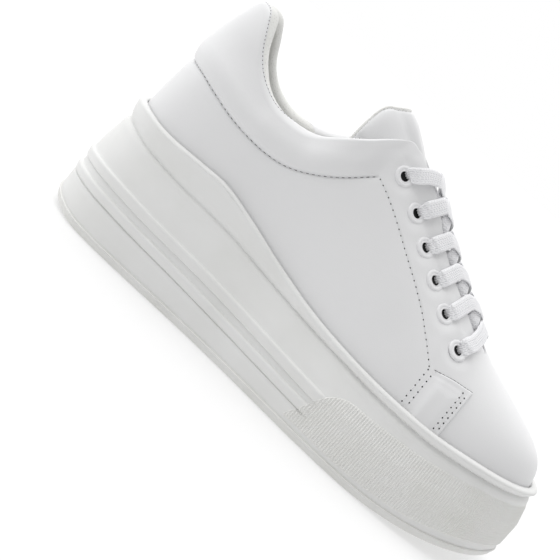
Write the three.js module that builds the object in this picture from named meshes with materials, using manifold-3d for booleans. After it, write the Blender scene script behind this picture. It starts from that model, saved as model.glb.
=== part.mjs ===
// A right platform sneaker, built as its maker would: a moulded two-part platform sole, a hollow upper
// shaped by the last, a tongue, an insole, twelve eyelets and a flat lace.
//
// Millimetres. +X points to the toe, -Y to the lateral (outer) side, +Z up, and the shoe stands on z = 0.
// The shapes are worked out with x = 0 at the heel's furthest point, and the whole shoe is then moved so
// that its origin is at the middle of its bounding box's base.
import * as THREE from "three";
import { mergeVertices } from "three/addons/utils/BufferGeometryUtils.js";
import Module from "manifold-3d";

// ---------------------------------------------------------------- driving dimensions
const LATERAL = -1;
const MEDIAL = 1;

const LAST_BACK = 7.5; // x of the last's heel
const LAST_LENGTH = 247; // heel to toe along the upper's lower edge
const SPINE_BACK = 45; // x of the ridge's rear end, where the heel's sections gather
const SPINE_FRONT = 228; // x of the ridge's front end, where the toe's sections gather
const RIDGE_SHARE = 0.6; // how much of the outline's sideways drift the ridge takes

const WALL = 2; // the upper's leather and lining together
const PAD_OUT = 2.6; // how far the padded collar stands proud
const PAD_IN = 6; // and how far it thickens inwards
const PAD_RISE = 12; // height over which the padding grows from its seam
const PAD_FRONT = 100; // x where the outer padding starts to thin out towards the lacing
const PAD_END = 116; // x where it is gone
const LINING_FRONT = 74; // the same for the inner padding, which makes room for the tongue
const LINING_END = 98;
const EDGE_BLUNT = 0.45; // share of the thickness left at the faceted edge's crest

const THROAT_HALF = 9.5; // half the gap between the two facings
const THROAT_START = 88; // x behind which only the collar line counts
const THROAT_ROUND = 8; // length of the throat's rounded front end
const THROAT_END = 199; // x of the throat's front end
const CORNER_BLEND = 5; // rounding where the collar meets the throat
const CORNER_FROM = 0.34; // turns between which the facings' corner lies
const CORNER_TO = 0.48;

const GAP = 0.3; // clearance between pieces that touch
const OUTSOLE_THICK = 4;
const HEEL_RISE = 4; // upward bevel of the sole at the back of the heel
const HEEL_RISE_LENGTH = 28;
const TOE_SPRING = 10.5; // height of the sole's underside at the tip of the toe
const TOE_SPRING_START = 190;
const SOLE_LENGTH = 262;
const FLARE = 6.5; // how far the sole's foot stands out from the last

const INSOLE_THICK = 4;
const TONGUE_THICK = 4;
const TONGUE_DROP = 3.2; // tongue's outer face below the facings' outer face
const TONGUE_TUCK = 3; // and how much deeper its side edges are, at the free end
const TONGUE_TOP = 101.5; // x of the tongue's free end, on the ridge
const TONGUE_ROUND = 9; // how much further back its corners are
const TONGUE_BASE = 209; // x of its sewn end, under the vamp

const EYELET_HOLE = 2.4;
const EYELET_BARREL = 2.9;
const EYELET_FLANGE = 4.9;
const FLANGE_THICK = 0.7;
const LACE_WIDTH = 7.6;
const LACE_THICK = 1.3;
const BAR_FORWARD = 0.6; // the lowest bar, towards the toe from its eyelets
const TAIL_BACK = 4; // a crossing's far ends, back from the next eyelets
const TAIL_INSET = 2.4; // and inside the facings' edges

// The last's lower edge seen from above: half widths from an axis that drifts towards the big toe.
const OUTLINE = [
  { at: 0, axis: 0, lateral: 0, medial: 0 },
  { at: 0.02, axis: 0, lateral: 16, medial: 16 },
  { at: 0.06, axis: 0, lateral: 25, medial: 25 },
  { at: 0.12, axis: 0, lateral: 29.5, medial: 29.5 },
  { at: 0.2, axis: 0, lateral: 31, medial: 30.5 },
  { at: 0.3, axis: 0, lateral: 31.5, medial: 28.5 },
  { at: 0.4, axis: 0, lateral: 33, medial: 27 },
  { at: 0.5, axis: 0.5, lateral: 37, medial: 29 },
  { at: 0.6, axis: 1.5, lateral: 42, medial: 34 },
  { at: 0.68, axis: 3, lateral: 45.5, medial: 38.5 },
  { at: 0.76, axis: 4.5, lateral: 46.5, medial: 40.5 },
  { at: 0.84, axis: 5.5, lateral: 44, medial: 39.5 },
  { at: 0.91, axis: 6, lateral: 37, medial: 34.5 },
  { at: 0.96, axis: 6.5, lateral: 26.5, medial: 25.5 },
  { at: 0.99, axis: 6.5, lateral: 13.5, medial: 13.5 },
  { at: 1, axis: 6.5, lateral: 0, medial: 0 },
];

// The top line of the closed last, from the ankle down the instep to the toe box.
const RIDGE = [
  { x: 45, z: 151 },
  { x: 68, z: 151.5 },
  { x: 85, z: 148 },
  { x: 100, z: 139.8 },
  { x: 110, z: 133 },
  { x: 120, z: 125.8 },
  { x: 132, z: 116.4 },
  { x: 143, z: 108.6 },
  { x: 155, z: 100.9 },
  { x: 168, z: 93.4 },
  { x: 182, z: 86 },
  { x: 194, z: 80 },
  { x: 205, z: 75.2 },
  { x: 215, z: 71.3 },
  { x: 228, z: 66.5 },
];

// Each cross-section is one cubic arc a side, from the lower edge up to the ridge. `wall` is how far it
// climbs before it turns in, `crown` how far the top stays wide, `bulge` how far it swells outwards.
const SECTIONS = [
  { at: 0, wall: 0.5, crown: 0.65, bulge: 0 },
  { at: 0.12, wall: 0.5, crown: 0.72, bulge: 0.5 },
  { at: 0.25, wall: 0.5, crown: 0.8, bulge: 0 },
  { at: 0.4, wall: 0.5, crown: 0.87, bulge: 0 },
  { at: 0.55, wall: 0.5, crown: 0.78, bulge: 0.5 },
  { at: 0.7, wall: 0.5, crown: 0.62, bulge: 1 },
  { at: 0.85, wall: 0.55, crown: 0.62, bulge: 1 },
  { at: 1, wall: 0.7, crown: 0.75, bulge: 0 },
];

// Heights along the sole: the insole's seat, the two beads, and the lower and upper edge of the band that
// grips the upper.
const SOLE = [
  { x: 0, seat: 45, lowBead: 22, highBead: 30.4, bandLow: 52, bandTop: 62.3 },
  { x: 12, seat: 45, lowBead: 22.4, highBead: 31.2, bandLow: 51.4, bandTop: 62.2 },
  { x: 30, seat: 45, lowBead: 22.1, highBead: 30.9, bandLow: 49, bandTop: 60.8 },
  { x: 52, seat: 44.6, lowBead: 21.1, highBead: 29.6, bandLow: 47.4, bandTop: 61.6 },
  { x: 66, seat: 43.8, lowBead: 20.5, highBead: 29.1, bandLow: 47, bandTop: 61.7 },
  { x: 85, seat: 42, lowBead: 19.5, highBead: 28.3, bandLow: 45.8, bandTop: 57.4 },
  { x: 105, seat: 39, lowBead: 18.5, highBead: 27.2, bandLow: 43.3, bandTop: 51.9 },
  { x: 130, seat: 34.8, lowBead: 17.5, highBead: 25.7, bandLow: 41, bandTop: 46.7 },
  { x: 155, seat: 32, lowBead: 16.7, highBead: 24.5, bandLow: 39.6, bandTop: 44.1 },
  { x: 180, seat: 31, lowBead: 15.8, highBead: 23.7, bandLow: 38.6, bandTop: 43 },
  { x: 205, seat: 31, lowBead: 15.5, highBead: 23.5, bandLow: 38.5, bandTop: 43.2 },
  { x: 230, seat: 32.4, lowBead: 17, highBead: 25, bandLow: 40.5, bandTop: 45 },
  { x: 262, seat: 35.5, lowBead: 20.5, highBead: 28.5, bandLow: 42.4, bandTop: 46.6 },
];

// The sole's wall from the foot upwards: each level is a height line plus dz, standing `out` from the last.
// `bead` is what the two beads add; they fade out before the ribbed front.
const OUTSOLE_WALL = [
  { line: "bottom", dz: 0, out: FLARE - 1.6, bead: 0 },
  { line: "bottom", dz: 1.4, out: FLARE - 0.1, bead: 0 },
  { line: "bottom", dz: OUTSOLE_THICK, out: FLARE + 0.2, bead: 0 },
];
const MIDSOLE_WALL = [
  { line: "bottom", dz: OUTSOLE_THICK + GAP, out: FLARE - 0.1, bead: -0.4 },
  { line: "lowBead", dz: -4.5, out: FLARE, bead: -0.5 },
  { line: "lowBead", dz: -1, out: FLARE, bead: 0.5 },
  { line: "lowBead", dz: 1, out: FLARE, bead: 0.3 },
  { line: "lowBead", dz: 2.2, out: FLARE, bead: -0.8 },
  { line: "highBead", dz: -3.2, out: FLARE - 0.1, bead: -0.7 },
  { line: "highBead", dz: -0.6, out: FLARE - 0.2, bead: 0.5 },
  { line: "highBead", dz: 1.2, out: FLARE - 0.4, bead: -0.3 },
  { line: "highBead", dz: 8, out: FLARE - 2, bead: 0 },
  { line: "bandLow", dz: 0, out: 1.7, bead: 0 },
  { line: "bandLow", dz: 2.2, out: 2.9, bead: 0 },
  { line: "bandTop", dz: -2.6, out: 3.6, bead: 0 },
  { line: "bandTop", dz: -0.6, out: 2.6, bead: 0 },
];
const PINCH = 0.24; // how far the padded collar closes in on the ankle, as a share of its width
const PINCH_START = 2; // below the collar's seam
const PINCH_RISE = 26;
const PINCH_END = 78; // x where it starts to fade
const PINCH_FADE = 20;

const BEAD_END = 150; // x where the beads start to fade
const BEAD_FADE = 10;

// The collar's top line seen from the side. Past the facings' corner it climbs away, and the throat rules.
const COLLAR = [
  { x: 9, lateral: 127.6, medial: 127.6 },
  { x: 14, lateral: 130.2, medial: 130.2 },
  { x: 20, lateral: 131.4, medial: 131.4 },
  { x: 28, lateral: 131.4, medial: 130.6 },
  { x: 33, lateral: 124.5, medial: 122.2 },
  { x: 37.6, lateral: 117, medial: 112.6 },
  { x: 44, lateral: 110, medial: 105.8 },
  { x: 50.5, lateral: 105.4, medial: 102.2 },
  { x: 58, lateral: 102.4, medial: 100.4 },
  { x: 67, lateral: 101.4, medial: 100.2 },
  { x: 77, lateral: 102.7, medial: 102.2 },
  { x: 84, lateral: 105.5, medial: 105.6 },
  { x: 91, lateral: 110.4, medial: 110.6 },
  { x: 100, lateral: 117.8, medial: 118.4 },
  { x: 107, lateral: 123.8, medial: 124.2 },
  { x: 113, lateral: 127.6, medial: 127.6 },
  { x: 119, lateral: 129.4, medial: 129.4 },
  { x: 125, lateral: 150, medial: 150 },
];

// The seam under the padded collar, seen from the side.
const COLLAR_SEAM = [
  { x: 0, z: 91 },
  { x: 12, z: 90.6 },
  { x: 23, z: 89.8 },
  { x: 35, z: 87.2 },
  { x: 47, z: 84.6 },
  { x: 58, z: 83.3 },
  { x: 69, z: 83.1 },
  { x: 80, z: 84.9 },
  { x: 91, z: 90 },
  { x: 101, z: 97 },
  { x: 113, z: 108 },
];

// Eyelets from the ankle down: where their centres lie, along the shoe and out from the middle line.
const EYELETS = [
  { x: 121, spread: 19.4 },
  { x: 135.5, spread: 19.1 },
  { x: 148.4, spread: 20.6 },
  { x: 161, spread: 22.2 },
  { x: 174, spread: 24.6 },
  { x: 188.6, spread: 27.4 },
];

// ---------------------------------------------------------------- curves through tables
// A smooth curve through one column of a table. `ends` says how it leaves the first and last row: flat,
// or straight on.
function through(keys, values, ends) {
  const last = keys.length - 1;
  const rise = (i, j) => (values[j] - values[i]) / (keys[j] - keys[i]);
  const slopes = keys.map((_, i) => {
    if (i > 0 && i < last) return rise(i - 1, i + 1);
    if (ends === "flat") return 0;
    return i === 0 ? rise(0, 1) : rise(last - 1, last);
  });
  return (key) => {
    const k = Math.min(Math.max(key, keys[0]), keys[last]);
    let i = 0;
    while (i < last - 1 && k > keys[i + 1]) i++;
    const h = keys[i + 1] - keys[i];
    const t = (k - keys[i]) / h;
    const t2 = t * t;
    const t3 = t2 * t;
    return (
      (2 * t3 - 3 * t2 + 1) * values[i] +
      (t3 - 2 * t2 + t) * h * slopes[i] +
      (3 * t2 - 2 * t3) * values[i + 1] +
      (t3 - t2) * h * slopes[i + 1]
    );
  };
}

const TURN_RATE = 370; // roughly how many millimetres of length one turn covers, for stepping to a given x

// A turn runs from 0 at the back of the heel to 1 at the tip of the toe, along either side. Going by turns
// rather than by length keeps both ends round.
const shareOf = (turn) => (1 - Math.cos(Math.PI * turn)) / 2;
const turnOf = (share) => Math.acos(1 - 2 * share) / Math.PI;
const byTurn = (rows, column, ends) =>
  through(
    rows.map((r) => turnOf(r.at)),
    rows.map((r) => r[column]),
    ends,
  );
const byX = (rows, column) =>
  through(
    rows.map((r) => r.x),
    rows.map((r) => r[column]),
    "straight",
  );

const axisOf = byTurn(OUTLINE, "axis", "flat");
const halfOf = {
  [LATERAL]: byTurn(OUTLINE, "lateral", "straight"),
  [MEDIAL]: byTurn(OUTLINE, "medial", "straight"),
};
const wallOf = byTurn(SECTIONS, "wall", "flat");
const crownOf = byTurn(SECTIONS, "crown", "flat");
const bulgeOf = byTurn(SECTIONS, "bulge", "flat");
const ridgeAt = byX(RIDGE, "z");
const collarLines = { [LATERAL]: byX(COLLAR, "lateral"), [MEDIAL]: byX(COLLAR, "medial") };
const seamAt = byX(COLLAR_SEAM, "z");
const soleLine = {
  bottom: (x) => {
    const heel = Math.max(0, 1 - x / HEEL_RISE_LENGTH);
    const toe = Math.max(0, (x - TOE_SPRING_START) / (SOLE_LENGTH - TOE_SPRING_START));
    return HEEL_RISE * heel ** 2 + TOE_SPRING * toe ** 1.8;
  },
  seat: byX(SOLE, "seat"),
  lowBead: byX(SOLE, "lowBead"),
  highBead: byX(SOLE, "highBead"),
  bandLow: byX(SOLE, "bandLow"),
  bandTop: byX(SOLE, "bandTop"),
};

const clamp01 = (v) => Math.min(Math.max(v, 0), 1);
const smooth = (v) => clamp01(v) ** 2 * (3 - 2 * clamp01(v));

// ---------------------------------------------------------------- the last
// A point of the last's lower edge seen from above. Turns just below 0 or above 1 carry on along the
// other side, so that normals are right at the two seams.
function edgePoint(side, turn) {
  const over = turn < 0 || turn > 1;
  const s = over ? -side : side;
  const t = turn < 0 ? -turn : turn > 1 ? 2 - turn : turn;
  return new THREE.Vector2(LAST_BACK + LAST_LENGTH * shareOf(t), axisOf(t) + s * halfOf[s](t));
}

function edgeNormal(side, turn) {
  const step = 0.004;
  const along = edgePoint(side, turn + step).sub(edgePoint(side, turn - step));
  return new THREE.Vector2(-along.y, along.x).multiplyScalar(side).normalize();
}

// The last's lower edge moved outwards.
function grownEdge(side, turn, out) {
  return edgePoint(side, turn).addScaledVector(edgeNormal(side, turn), out);
}

const spineAt = (turn) => SPINE_BACK + (SPINE_FRONT - SPINE_BACK) * shareOf(turn);
const turnAtSpine = (x) => turnOf((x - SPINE_BACK) / (SPINE_FRONT - SPINE_BACK));
const ridgeY = (turn) => RIDGE_SHARE * axisOf(turn);

function ridgeSlope(x) {
  const a = Math.max(x - 1, SPINE_BACK);
  const b = Math.min(x + 1, SPINE_FRONT);
  return (ridgeAt(b) - ridgeAt(a)) / (b - a);
}

// The closed last: `rise` runs from 0 at the lower edge to 1 on the ridge.
function lastPoint(side, turn, rise) {
  const foot = edgePoint(side, turn);
  const normal = edgeNormal(side, turn);
  const spine = spineAt(turn);
  const footZ = soleLine.seat(foot.x);
  const top = new THREE.Vector3(spine, ridgeY(turn), ridgeAt(spine));
  const height = top.z - footZ;
  const swell = bulgeOf(turn);
  const crown = crownOf(turn);
  const reach = crown * (foot.x - spine);
  const arc = new THREE.CubicBezierCurve3(
    new THREE.Vector3(foot.x, foot.y, footZ),
    new THREE.Vector3(foot.x + normal.x * swell, foot.y + normal.y * swell, footZ + wallOf(turn) * height),
    new THREE.Vector3(spine + reach, top.y + crown * (foot.y - top.y), top.z + ridgeSlope(spine) * reach),
    top,
  );
  const point = arc.getPoint(rise);
  const lean = smooth((point.z - seamAt(point.x) + PINCH_START) / PINCH_RISE);
  const here = 1 - smooth((point.x - PINCH_END) / PINCH_FADE);
  point.y = top.y + (point.y - top.y) * (1 - PINCH * lean * here);
  return point;
}

// Outward normal of the closed last. At the ridge both sides share one normal.
function lastNormal(side, turn, rise) {
  if (rise > 0.9999) {
    const x = spineAt(turn);
    return new THREE.Vector3(-ridgeSlope(x), 0, 1).normalize();
  }
  const step = 0.004;
  const safeRise = Math.min(rise, 0.985);
  const along = lastPoint(side, turn + step, safeRise).sub(lastPoint(side, turn - step, safeRise));
  const up = lastPoint(side, turn, safeRise + step).sub(lastPoint(side, turn, safeRise - step));
  return along.cross(up).multiplyScalar(-side).normalize();
}

const offsetPoint = (side, turn, rise, out) =>
  lastPoint(side, turn, rise).addScaledVector(lastNormal(side, turn, rise), out);

// The rise at which a test on the last's surface first turns positive.
function riseWhere(side, turn, test) {
  const steps = 80;
  for (let i = 1; i <= steps; i++) {
    if (test(lastPoint(side, turn, i / steps)) <= 0) continue;
    let low = (i - 1) / steps;
    let high = i / steps;
    for (let n = 0; n < 24; n++) {
      const mid = (low + high) / 2;
      if (test(lastPoint(side, turn, mid)) > 0) high = mid;
      else low = mid;
    }
    return (low + high) / 2;
  }
  return 1;
}

const riseAtHeight = (side, turn, z) => riseWhere(side, turn, (p) => p.z - z);

// The place on the closed last at a plan position: its side, turn and rise.
function placeOnLast(x, y) {
  let turn = turnAtSpine(x);
  const side = y < ridgeY(turn) ? LATERAL : MEDIAL;
  let rise = 1;
  for (let n = 0; n < 12; n++) {
    const half = Math.abs(y - ridgeY(turn));
    rise = riseWhere(side, turn, (p) => half - Math.abs(p.y - ridgeY(turn)));
    turn += (x - lastPoint(side, turn, rise).x) / TURN_RATE;
  }
  return { side, turn, rise };
}

const middleY = (x) => ridgeY(turnAtSpine(x));

// ---------------------------------------------------------------- the upper's opening and padding
function throatHalf(x) {
  const round = (x - (THROAT_END - THROAT_ROUND)) / THROAT_ROUND;
  return round <= 0 ? THROAT_HALF : THROAT_HALF * Math.sqrt(Math.max(0, 1 - round ** 2));
}

// Positive where the last is left open, at the collar or in the throat.
function openness(turn) {
  return (p) => {
    const collar = p.z - collarLines[p.y < ridgeY(turn) ? LATERAL : MEDIAL](p.x);
    if (p.x < THROAT_START) return collar;
    const throat = throatHalf(p.x) - Math.abs(p.y - ridgeY(turn));
    const blend = Math.max(CORNER_BLEND - Math.abs(collar - throat), 0) / CORNER_BLEND;
    return Math.max(collar, throat) + (blend ** 2 * CORNER_BLEND) / 4;
  };
}

const topRise = (side, turn) =>
  turn >= turnAtSpine(THROAT_END) ? 1 : riseWhere(side, turn, openness(turn));

// How far the padding stands out at a point, and how far in.
function paddingAt(p) {
  const above = smooth((p.z - seamAt(p.x)) / PAD_RISE);
  return {
    out: PAD_OUT * above * smooth((PAD_END - p.x) / (PAD_END - PAD_FRONT)),
    in: PAD_IN * above * smooth((LINING_END - p.x) / (LINING_END - LINING_FRONT)),
  };
}

// ---------------------------------------------------------------- meshes from rings and grids
// Turns for one side in bands, closer together where the collar climbs to the facings' corner. `crowd`
// draws a band's turns towards its end, as the throat's round front needs.
function upperTurns() {
  const bands = [
    { from: 0, to: CORNER_FROM, steps: 11, crowd: 1 },
    { from: CORNER_FROM, to: CORNER_TO, steps: 12, crowd: 1 },
    { from: CORNER_TO, to: turnAtSpine(THROAT_END), steps: 9, crowd: 1.8 },
    { from: turnAtSpine(THROAT_END), to: 1, steps: 9, crowd: 1 },
  ];
  const turns = bands.flatMap(({ from, to, steps, crowd }) =>
    Array.from({ length: steps }, (_, i) => to - (to - from) * (1 - i / steps) ** crowd),
  );
  return [...turns, 1];
}

// Stations right round the shoe: heel, lateral side, toe, medial side.
function stationsOf(turns) {
  const lateral = turns.map((turn) => ({ side: LATERAL, turn }));
  const medial = turns.slice(1, -1).map((turn) => ({ side: MEDIAL, turn }));
  return [...lateral, ...medial.reverse()];
}

function geometryOf(points, faces) {
  const geometry = new THREE.BufferGeometry();
  geometry.setAttribute("position", new THREE.Float32BufferAttribute(points.flatMap((p) => p.toArray()), 3));
  geometry.setIndex(faces.flat());
  return geometry;
}

// A closed solid through rings of points that all start at the heel and run round by the lateral side.
// The first ring is closed underneath and the last on top, straight across the shoe.
function ringSolid(rings) {
  const n = rings[0].length;
  const faces = [];
  for (let r = 0; r < rings.length - 1; r++)
    for (let k = 0; k < n; k++) {
      const a = r * n + k;
      const b = r * n + ((k + 1) % n);
      faces.push([a, b, b + n], [a, b + n, a + n]);
    }
  const across = (k) => (n - k) % n;
  const cap = (start, flip) => {
    for (let k = 0; k < n / 2; k++) {
      const quad = [k, k + 1, across(k + 1), across(k)].map((i) => start + i);
      const halves = [
        [quad[0], quad[1], quad[2]],
        [quad[0], quad[2], quad[3]],
      ];
      for (const f of halves) if (new Set(f).size === 3) faces.push(flip ? f.reverse() : f);
    }
  };
  cap(0, true);
  cap((rings.length - 1) * n, false);
  return geometryOf(rings.flat(), faces);
}

// ---------------------------------------------------------------- booleans
const wasm = await Module();
wasm.setup();

function solidFrom(geometry) {
  const bare = geometry.clone();
  for (const name of Object.keys(bare.attributes)) if (name !== "position") bare.deleteAttribute(name);
  const merged = mergeVertices(bare, 1e-4);
  return new wasm.Manifold(
    new wasm.Mesh({
      numProp: 3,
      vertProperties: new Float32Array(merged.attributes.position.array),
      triVerts: new Uint32Array(merged.index.array),
    }),
  );
}

function geometryFrom(solid) {
  const mesh = solid.getMesh();
  const geometry = new THREE.BufferGeometry();
  geometry.setAttribute("position", new THREE.Float32BufferAttribute(mesh.vertProperties, 3));
  geometry.setIndex(new THREE.Uint32BufferAttribute(mesh.triVerts, 1));
  return geometry;
}

const placed = (geometry, matrix) => geometry.clone().applyMatrix4(matrix);

// ---------------------------------------------------------------- sole
const SOLE_STATIONS = stationsOf(Array.from({ length: 37 }, (_, i) => i / 36));

const wallRing = (level, stations) =>
  stations.map(({ side, turn }) => {
    const fade = 1 - smooth((edgePoint(side, turn).x - BEAD_END) / BEAD_FADE);
    const p = grownEdge(side, turn, level.out + level.bead * fade);
    return new THREE.Vector3(p.x, p.y, soleLine[level.line](p.x) + level.dz);
  });

// Grooves across the tread, kept inside the rim so that the sole's edge stays whole, and a shallow waist.
function treadCutter() {
  const groove = { width: 2.2, depth: 1.6, rim: 9 };
  const waist = { from: 88, to: 118, depth: 1.2 };
  const places = [
    ...[22, 34, 46, 58, 70].map((x) => ({ x, slant: 0 })),
    ...[136, 148, 160, 172, 184, 196, 208, 220].map((x) => ({ x, slant: 0.12 })),
  ];
  const inside = ringSolid(
    [-5, 12].map((z) =>
      SOLE_STATIONS.map(({ side, turn }) => {
        const p = grownEdge(side, turn, FLARE - groove.rim);
        return new THREE.Vector3(p.x, p.y, z);
      }),
    ),
  );
  let cuts = null;
  for (const { x, slant } of places) {
    const rise = soleLine.bottom(x);
    const tilt = Math.atan(soleLine.bottom(x + 1) - soleLine.bottom(x));
    const bar = placed(
      new THREE.BoxGeometry(groove.width, 140, 2 * groove.depth),
      new THREE.Matrix4()
        .makeTranslation(x, 0, rise)
        .multiply(new THREE.Matrix4().makeRotationZ(slant))
        .multiply(new THREE.Matrix4().makeRotationY(-tilt)),
    );
    const solid = solidFrom(bar);
    cuts = cuts ? cuts.add(solid) : solid;
  }
  const grooves = cuts.intersect(solidFrom(inside));
  const length = waist.to - waist.from;
  const waistBox = placed(
    new THREE.BoxGeometry(length, 140, 2 * waist.depth),
    new THREE.Matrix4().makeTranslation(waist.from + length / 2, 0, 0),
  );
  return grooves.add(solidFrom(waistBox));
}

function outsoleGeometry() {
  const plate = ringSolid(OUTSOLE_WALL.map((level) => wallRing(level, SOLE_STATIONS)));
  return geometryFrom(solidFrom(plate).subtract(treadCutter()));
}

// The platform: wall, band, and the cup that the upper stands in.
function midsoleGeometry() {
  const outer = MIDSOLE_WALL.map((level) => wallRing(level, SOLE_STATIONS));
  const cup = [
    { line: "bandTop", dz: 0, out: 1.5 },
    { line: "bandTop", dz: -0.4, out: GAP },
    { line: "seat", dz: 5, out: GAP },
    { line: "seat", dz: -GAP, out: GAP },
  ].map(({ line, dz, out }) =>
    SOLE_STATIONS.map(({ side, turn }) => {
      const foot = edgePoint(side, turn);
      const z = soleLine[line](foot.x) + dz;
      if (z < soleLine.seat(foot.x)) {
        const p = grownEdge(side, turn, out);
        return new THREE.Vector3(p.x, p.y, z);
      }
      return offsetPoint(side, turn, riseAtHeight(side, turn, z), out);
    }),
  );
  return ringSolid([...outer, ...cup]);
}

function insoleGeometry() {
  const levels = [
    { dz: 0, out: -WALL - 0.4 },
    { dz: 0.8 * INSOLE_THICK, out: -WALL - 0.4 },
    { dz: INSOLE_THICK, out: -WALL - 1.4 },
  ];
  return ringSolid(
    levels.map(({ dz, out }) =>
      SOLE_STATIONS.map(({ side, turn }) => {
        const p = grownEdge(side, turn, out);
        return new THREE.Vector3(p.x, p.y, soleLine.seat(p.x) + dz);
      }),
    ),
  );
}

// ---------------------------------------------------------------- upper
// Both faces of the upper at one station and rise: [outside, inside]. The edge of the opening is rolled
// over a round whose radius is half the thickness there.
function upperFaces({ side, turn }, rise, top) {
  const p = lastPoint(side, turn, rise);
  const normal = lastNormal(side, turn, rise);
  const pad = paddingAt(p);
  const outside = pad.out;
  const inside = -(WALL + pad.in);
  const middle = (outside + inside) / 2;
  const radius = (outside - inside) / 2;
  let roll = 1;
  if (turn <= turnAtSpine(THROAT_END)) {
    const below = p.distanceTo(lastPoint(side, turn, top));
    const level = 1 - Math.min(below / radius, 1);
    roll = Math.max(EDGE_BLUNT, Math.sqrt(1 - level ** 2));
  }
  return [1, -1].map((face) => p.clone().addScaledVector(normal, middle + face * radius * roll));
}

function upperGeometry(eyeletHoles) {
  const stations = stationsOf(upperTurns());
  const n = stations.length;
  const climb = [0, 0.14, 0.28, 0.42, 0.56, 0.69, 0.81, 0.91, 0.965, 1];
  const points = [];
  for (const station of stations) {
    const top = topRise(station.side, station.turn);
    const pairs = climb.map((share) => upperFaces(station, share * top, top));
    points.push(...pairs.map((pair) => pair[0]), ...pairs.map((pair) => pair[1]));
  }
  const rows = climb.length;
  const at = (k, face, row) => (k % n) * 2 * rows + face * rows + row;
  const throatTurn = turnAtSpine(THROAT_END);
  const faces = [];
  for (let k = 0; k < n; k++) {
    const quad = (a, b, c, d) => faces.push([a, b, c], [a, c, d]);
    for (let row = 0; row < rows - 1; row++) {
      quad(at(k, 0, row), at(k + 1, 0, row), at(k + 1, 0, row + 1), at(k, 0, row + 1));
      quad(at(k, 1, row + 1), at(k + 1, 1, row + 1), at(k + 1, 1, row), at(k, 1, row));
    }
    quad(at(k + 1, 0, 0), at(k, 0, 0), at(k, 1, 0), at(k + 1, 1, 0));
    const next = stations[(k + 1) % n];
    const open = Math.max(stations[k].turn, next.turn) <= throatTurn + 1e-9;
    if (open) quad(at(k, 0, rows - 1), at(k + 1, 0, rows - 1), at(k + 1, 1, rows - 1), at(k, 1, rows - 1));
  }
  let solid = solidFrom(geometryOf(points, faces));
  for (const hole of eyeletHoles) solid = solid.subtract(hole);
  return geometryFrom(solid);
}

// ---------------------------------------------------------------- tongue
// A pad that follows the last under the facings. Its free end is round, its sides further back.
function tongueGeometry() {
  const along = 16;
  const across = 10;
  const halfWidth = through([0, 0.15, 0.6, 1], [23, 26, 24, 19], "straight");
  const sheet = (out) => {
    const rows = [];
    for (let i = 0; i <= along; i++) {
      const share = i / along;
      const row = [];
      for (let j = -across / 2; j <= across / 2; j++) {
        const w = Math.abs(j) / (across / 2);
        const start = TONGUE_TOP - TONGUE_ROUND * w ** 2;
        const x = start + (TONGUE_BASE - start) * share;
        const { side, turn, rise } = placeOnLast(x, middleY(x) + Math.sign(j) * w * halfWidth(share));
        const tuck = TONGUE_TUCK * w ** 2 * (1 - smooth(share / 0.5));
        row.push(offsetPoint(side, turn, rise, -TONGUE_DROP - tuck - out));
      }
      rows.push(row);
    }
    return rows;
  };
  const outer = sheet(0);
  const inner = sheet(TONGUE_THICK);
  const cols = across + 1;
  const layer = (along + 1) * cols;
  const at = (face, i, j) => face * layer + i * cols + j;
  const faces = [];
  const quad = (a, b, c, d) => faces.push([a, b, c], [a, c, d]);
  for (let i = 0; i < along; i++)
    for (let j = 0; j < across; j++) {
      quad(at(0, i, j), at(0, i + 1, j), at(0, i + 1, j + 1), at(0, i, j + 1));
      quad(at(1, i, j), at(1, i, j + 1), at(1, i + 1, j + 1), at(1, i + 1, j));
    }
  for (let i = 0; i < along; i++) {
    quad(at(0, i, 0), at(1, i, 0), at(1, i + 1, 0), at(0, i + 1, 0));
    quad(at(0, i + 1, across), at(1, i + 1, across), at(1, i, across), at(0, i, across));
  }
  for (let j = 0; j < across; j++) {
    quad(at(0, 0, j), at(0, 0, j + 1), at(1, 0, j + 1), at(1, 0, j));
    quad(at(0, along, j + 1), at(0, along, j), at(1, along, j), at(1, along, j + 1));
  }
  return geometryOf([...outer.flat(), ...inner.flat()], faces);
}

// ---------------------------------------------------------------- eyelets
// An eyelet's place, and the matrix that stands a lathed ring (axis +Y) on the facing there.
function eyeletFrame(side, row) {
  const { x, spread } = EYELETS[row];
  const { turn, rise } = placeOnLast(x, middleY(x) + side * spread);
  const origin = lastPoint(side, turn, rise);
  const normal = lastNormal(side, turn, rise);
  const upright = new THREE.Quaternion().setFromUnitVectors(new THREE.Vector3(0, 1, 0), normal);
  const matrix = new THREE.Matrix4().compose(origin, upright, new THREE.Vector3(1, 1, 1));
  return { side, row, origin, matrix, name: `eyelet_${side === LATERAL ? "lateral" : "medial"}_${row + 1}` };
}

const eyeletFrames = [LATERAL, MEDIAL].flatMap((side) => EYELETS.map((_, row) => eyeletFrame(side, row)));
const eyeletAt = (side, row) => eyeletFrames.find((e) => e.side === side && e.row === row);

const EYELET_SIDES = 12;

// An eyelet: a flange on the facing and a barrel through it.
function eyeletGeometry() {
  const face = GAP;
  const back = GAP - WALL;
  const profile = [
    [EYELET_HOLE, back],
    [EYELET_BARREL, back],
    [EYELET_BARREL, face],
    [EYELET_FLANGE, face],
    [EYELET_FLANGE - 0.7, face + FLANGE_THICK],
    [EYELET_HOLE + 0.6, face + FLANGE_THICK],
    [EYELET_HOLE, face + FLANGE_THICK - 0.4],
    [EYELET_HOLE, back],
  ].map(([r, y]) => new THREE.Vector2(r, y));
  return new THREE.LatheGeometry(profile, EYELET_SIDES);
}

function eyeletHole({ matrix }) {
  const drill = new THREE.CylinderGeometry(EYELET_BARREL + GAP, EYELET_BARREL + GAP, 14, EYELET_SIDES);
  return solidFrom(placed(drill, matrix));
}

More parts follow.
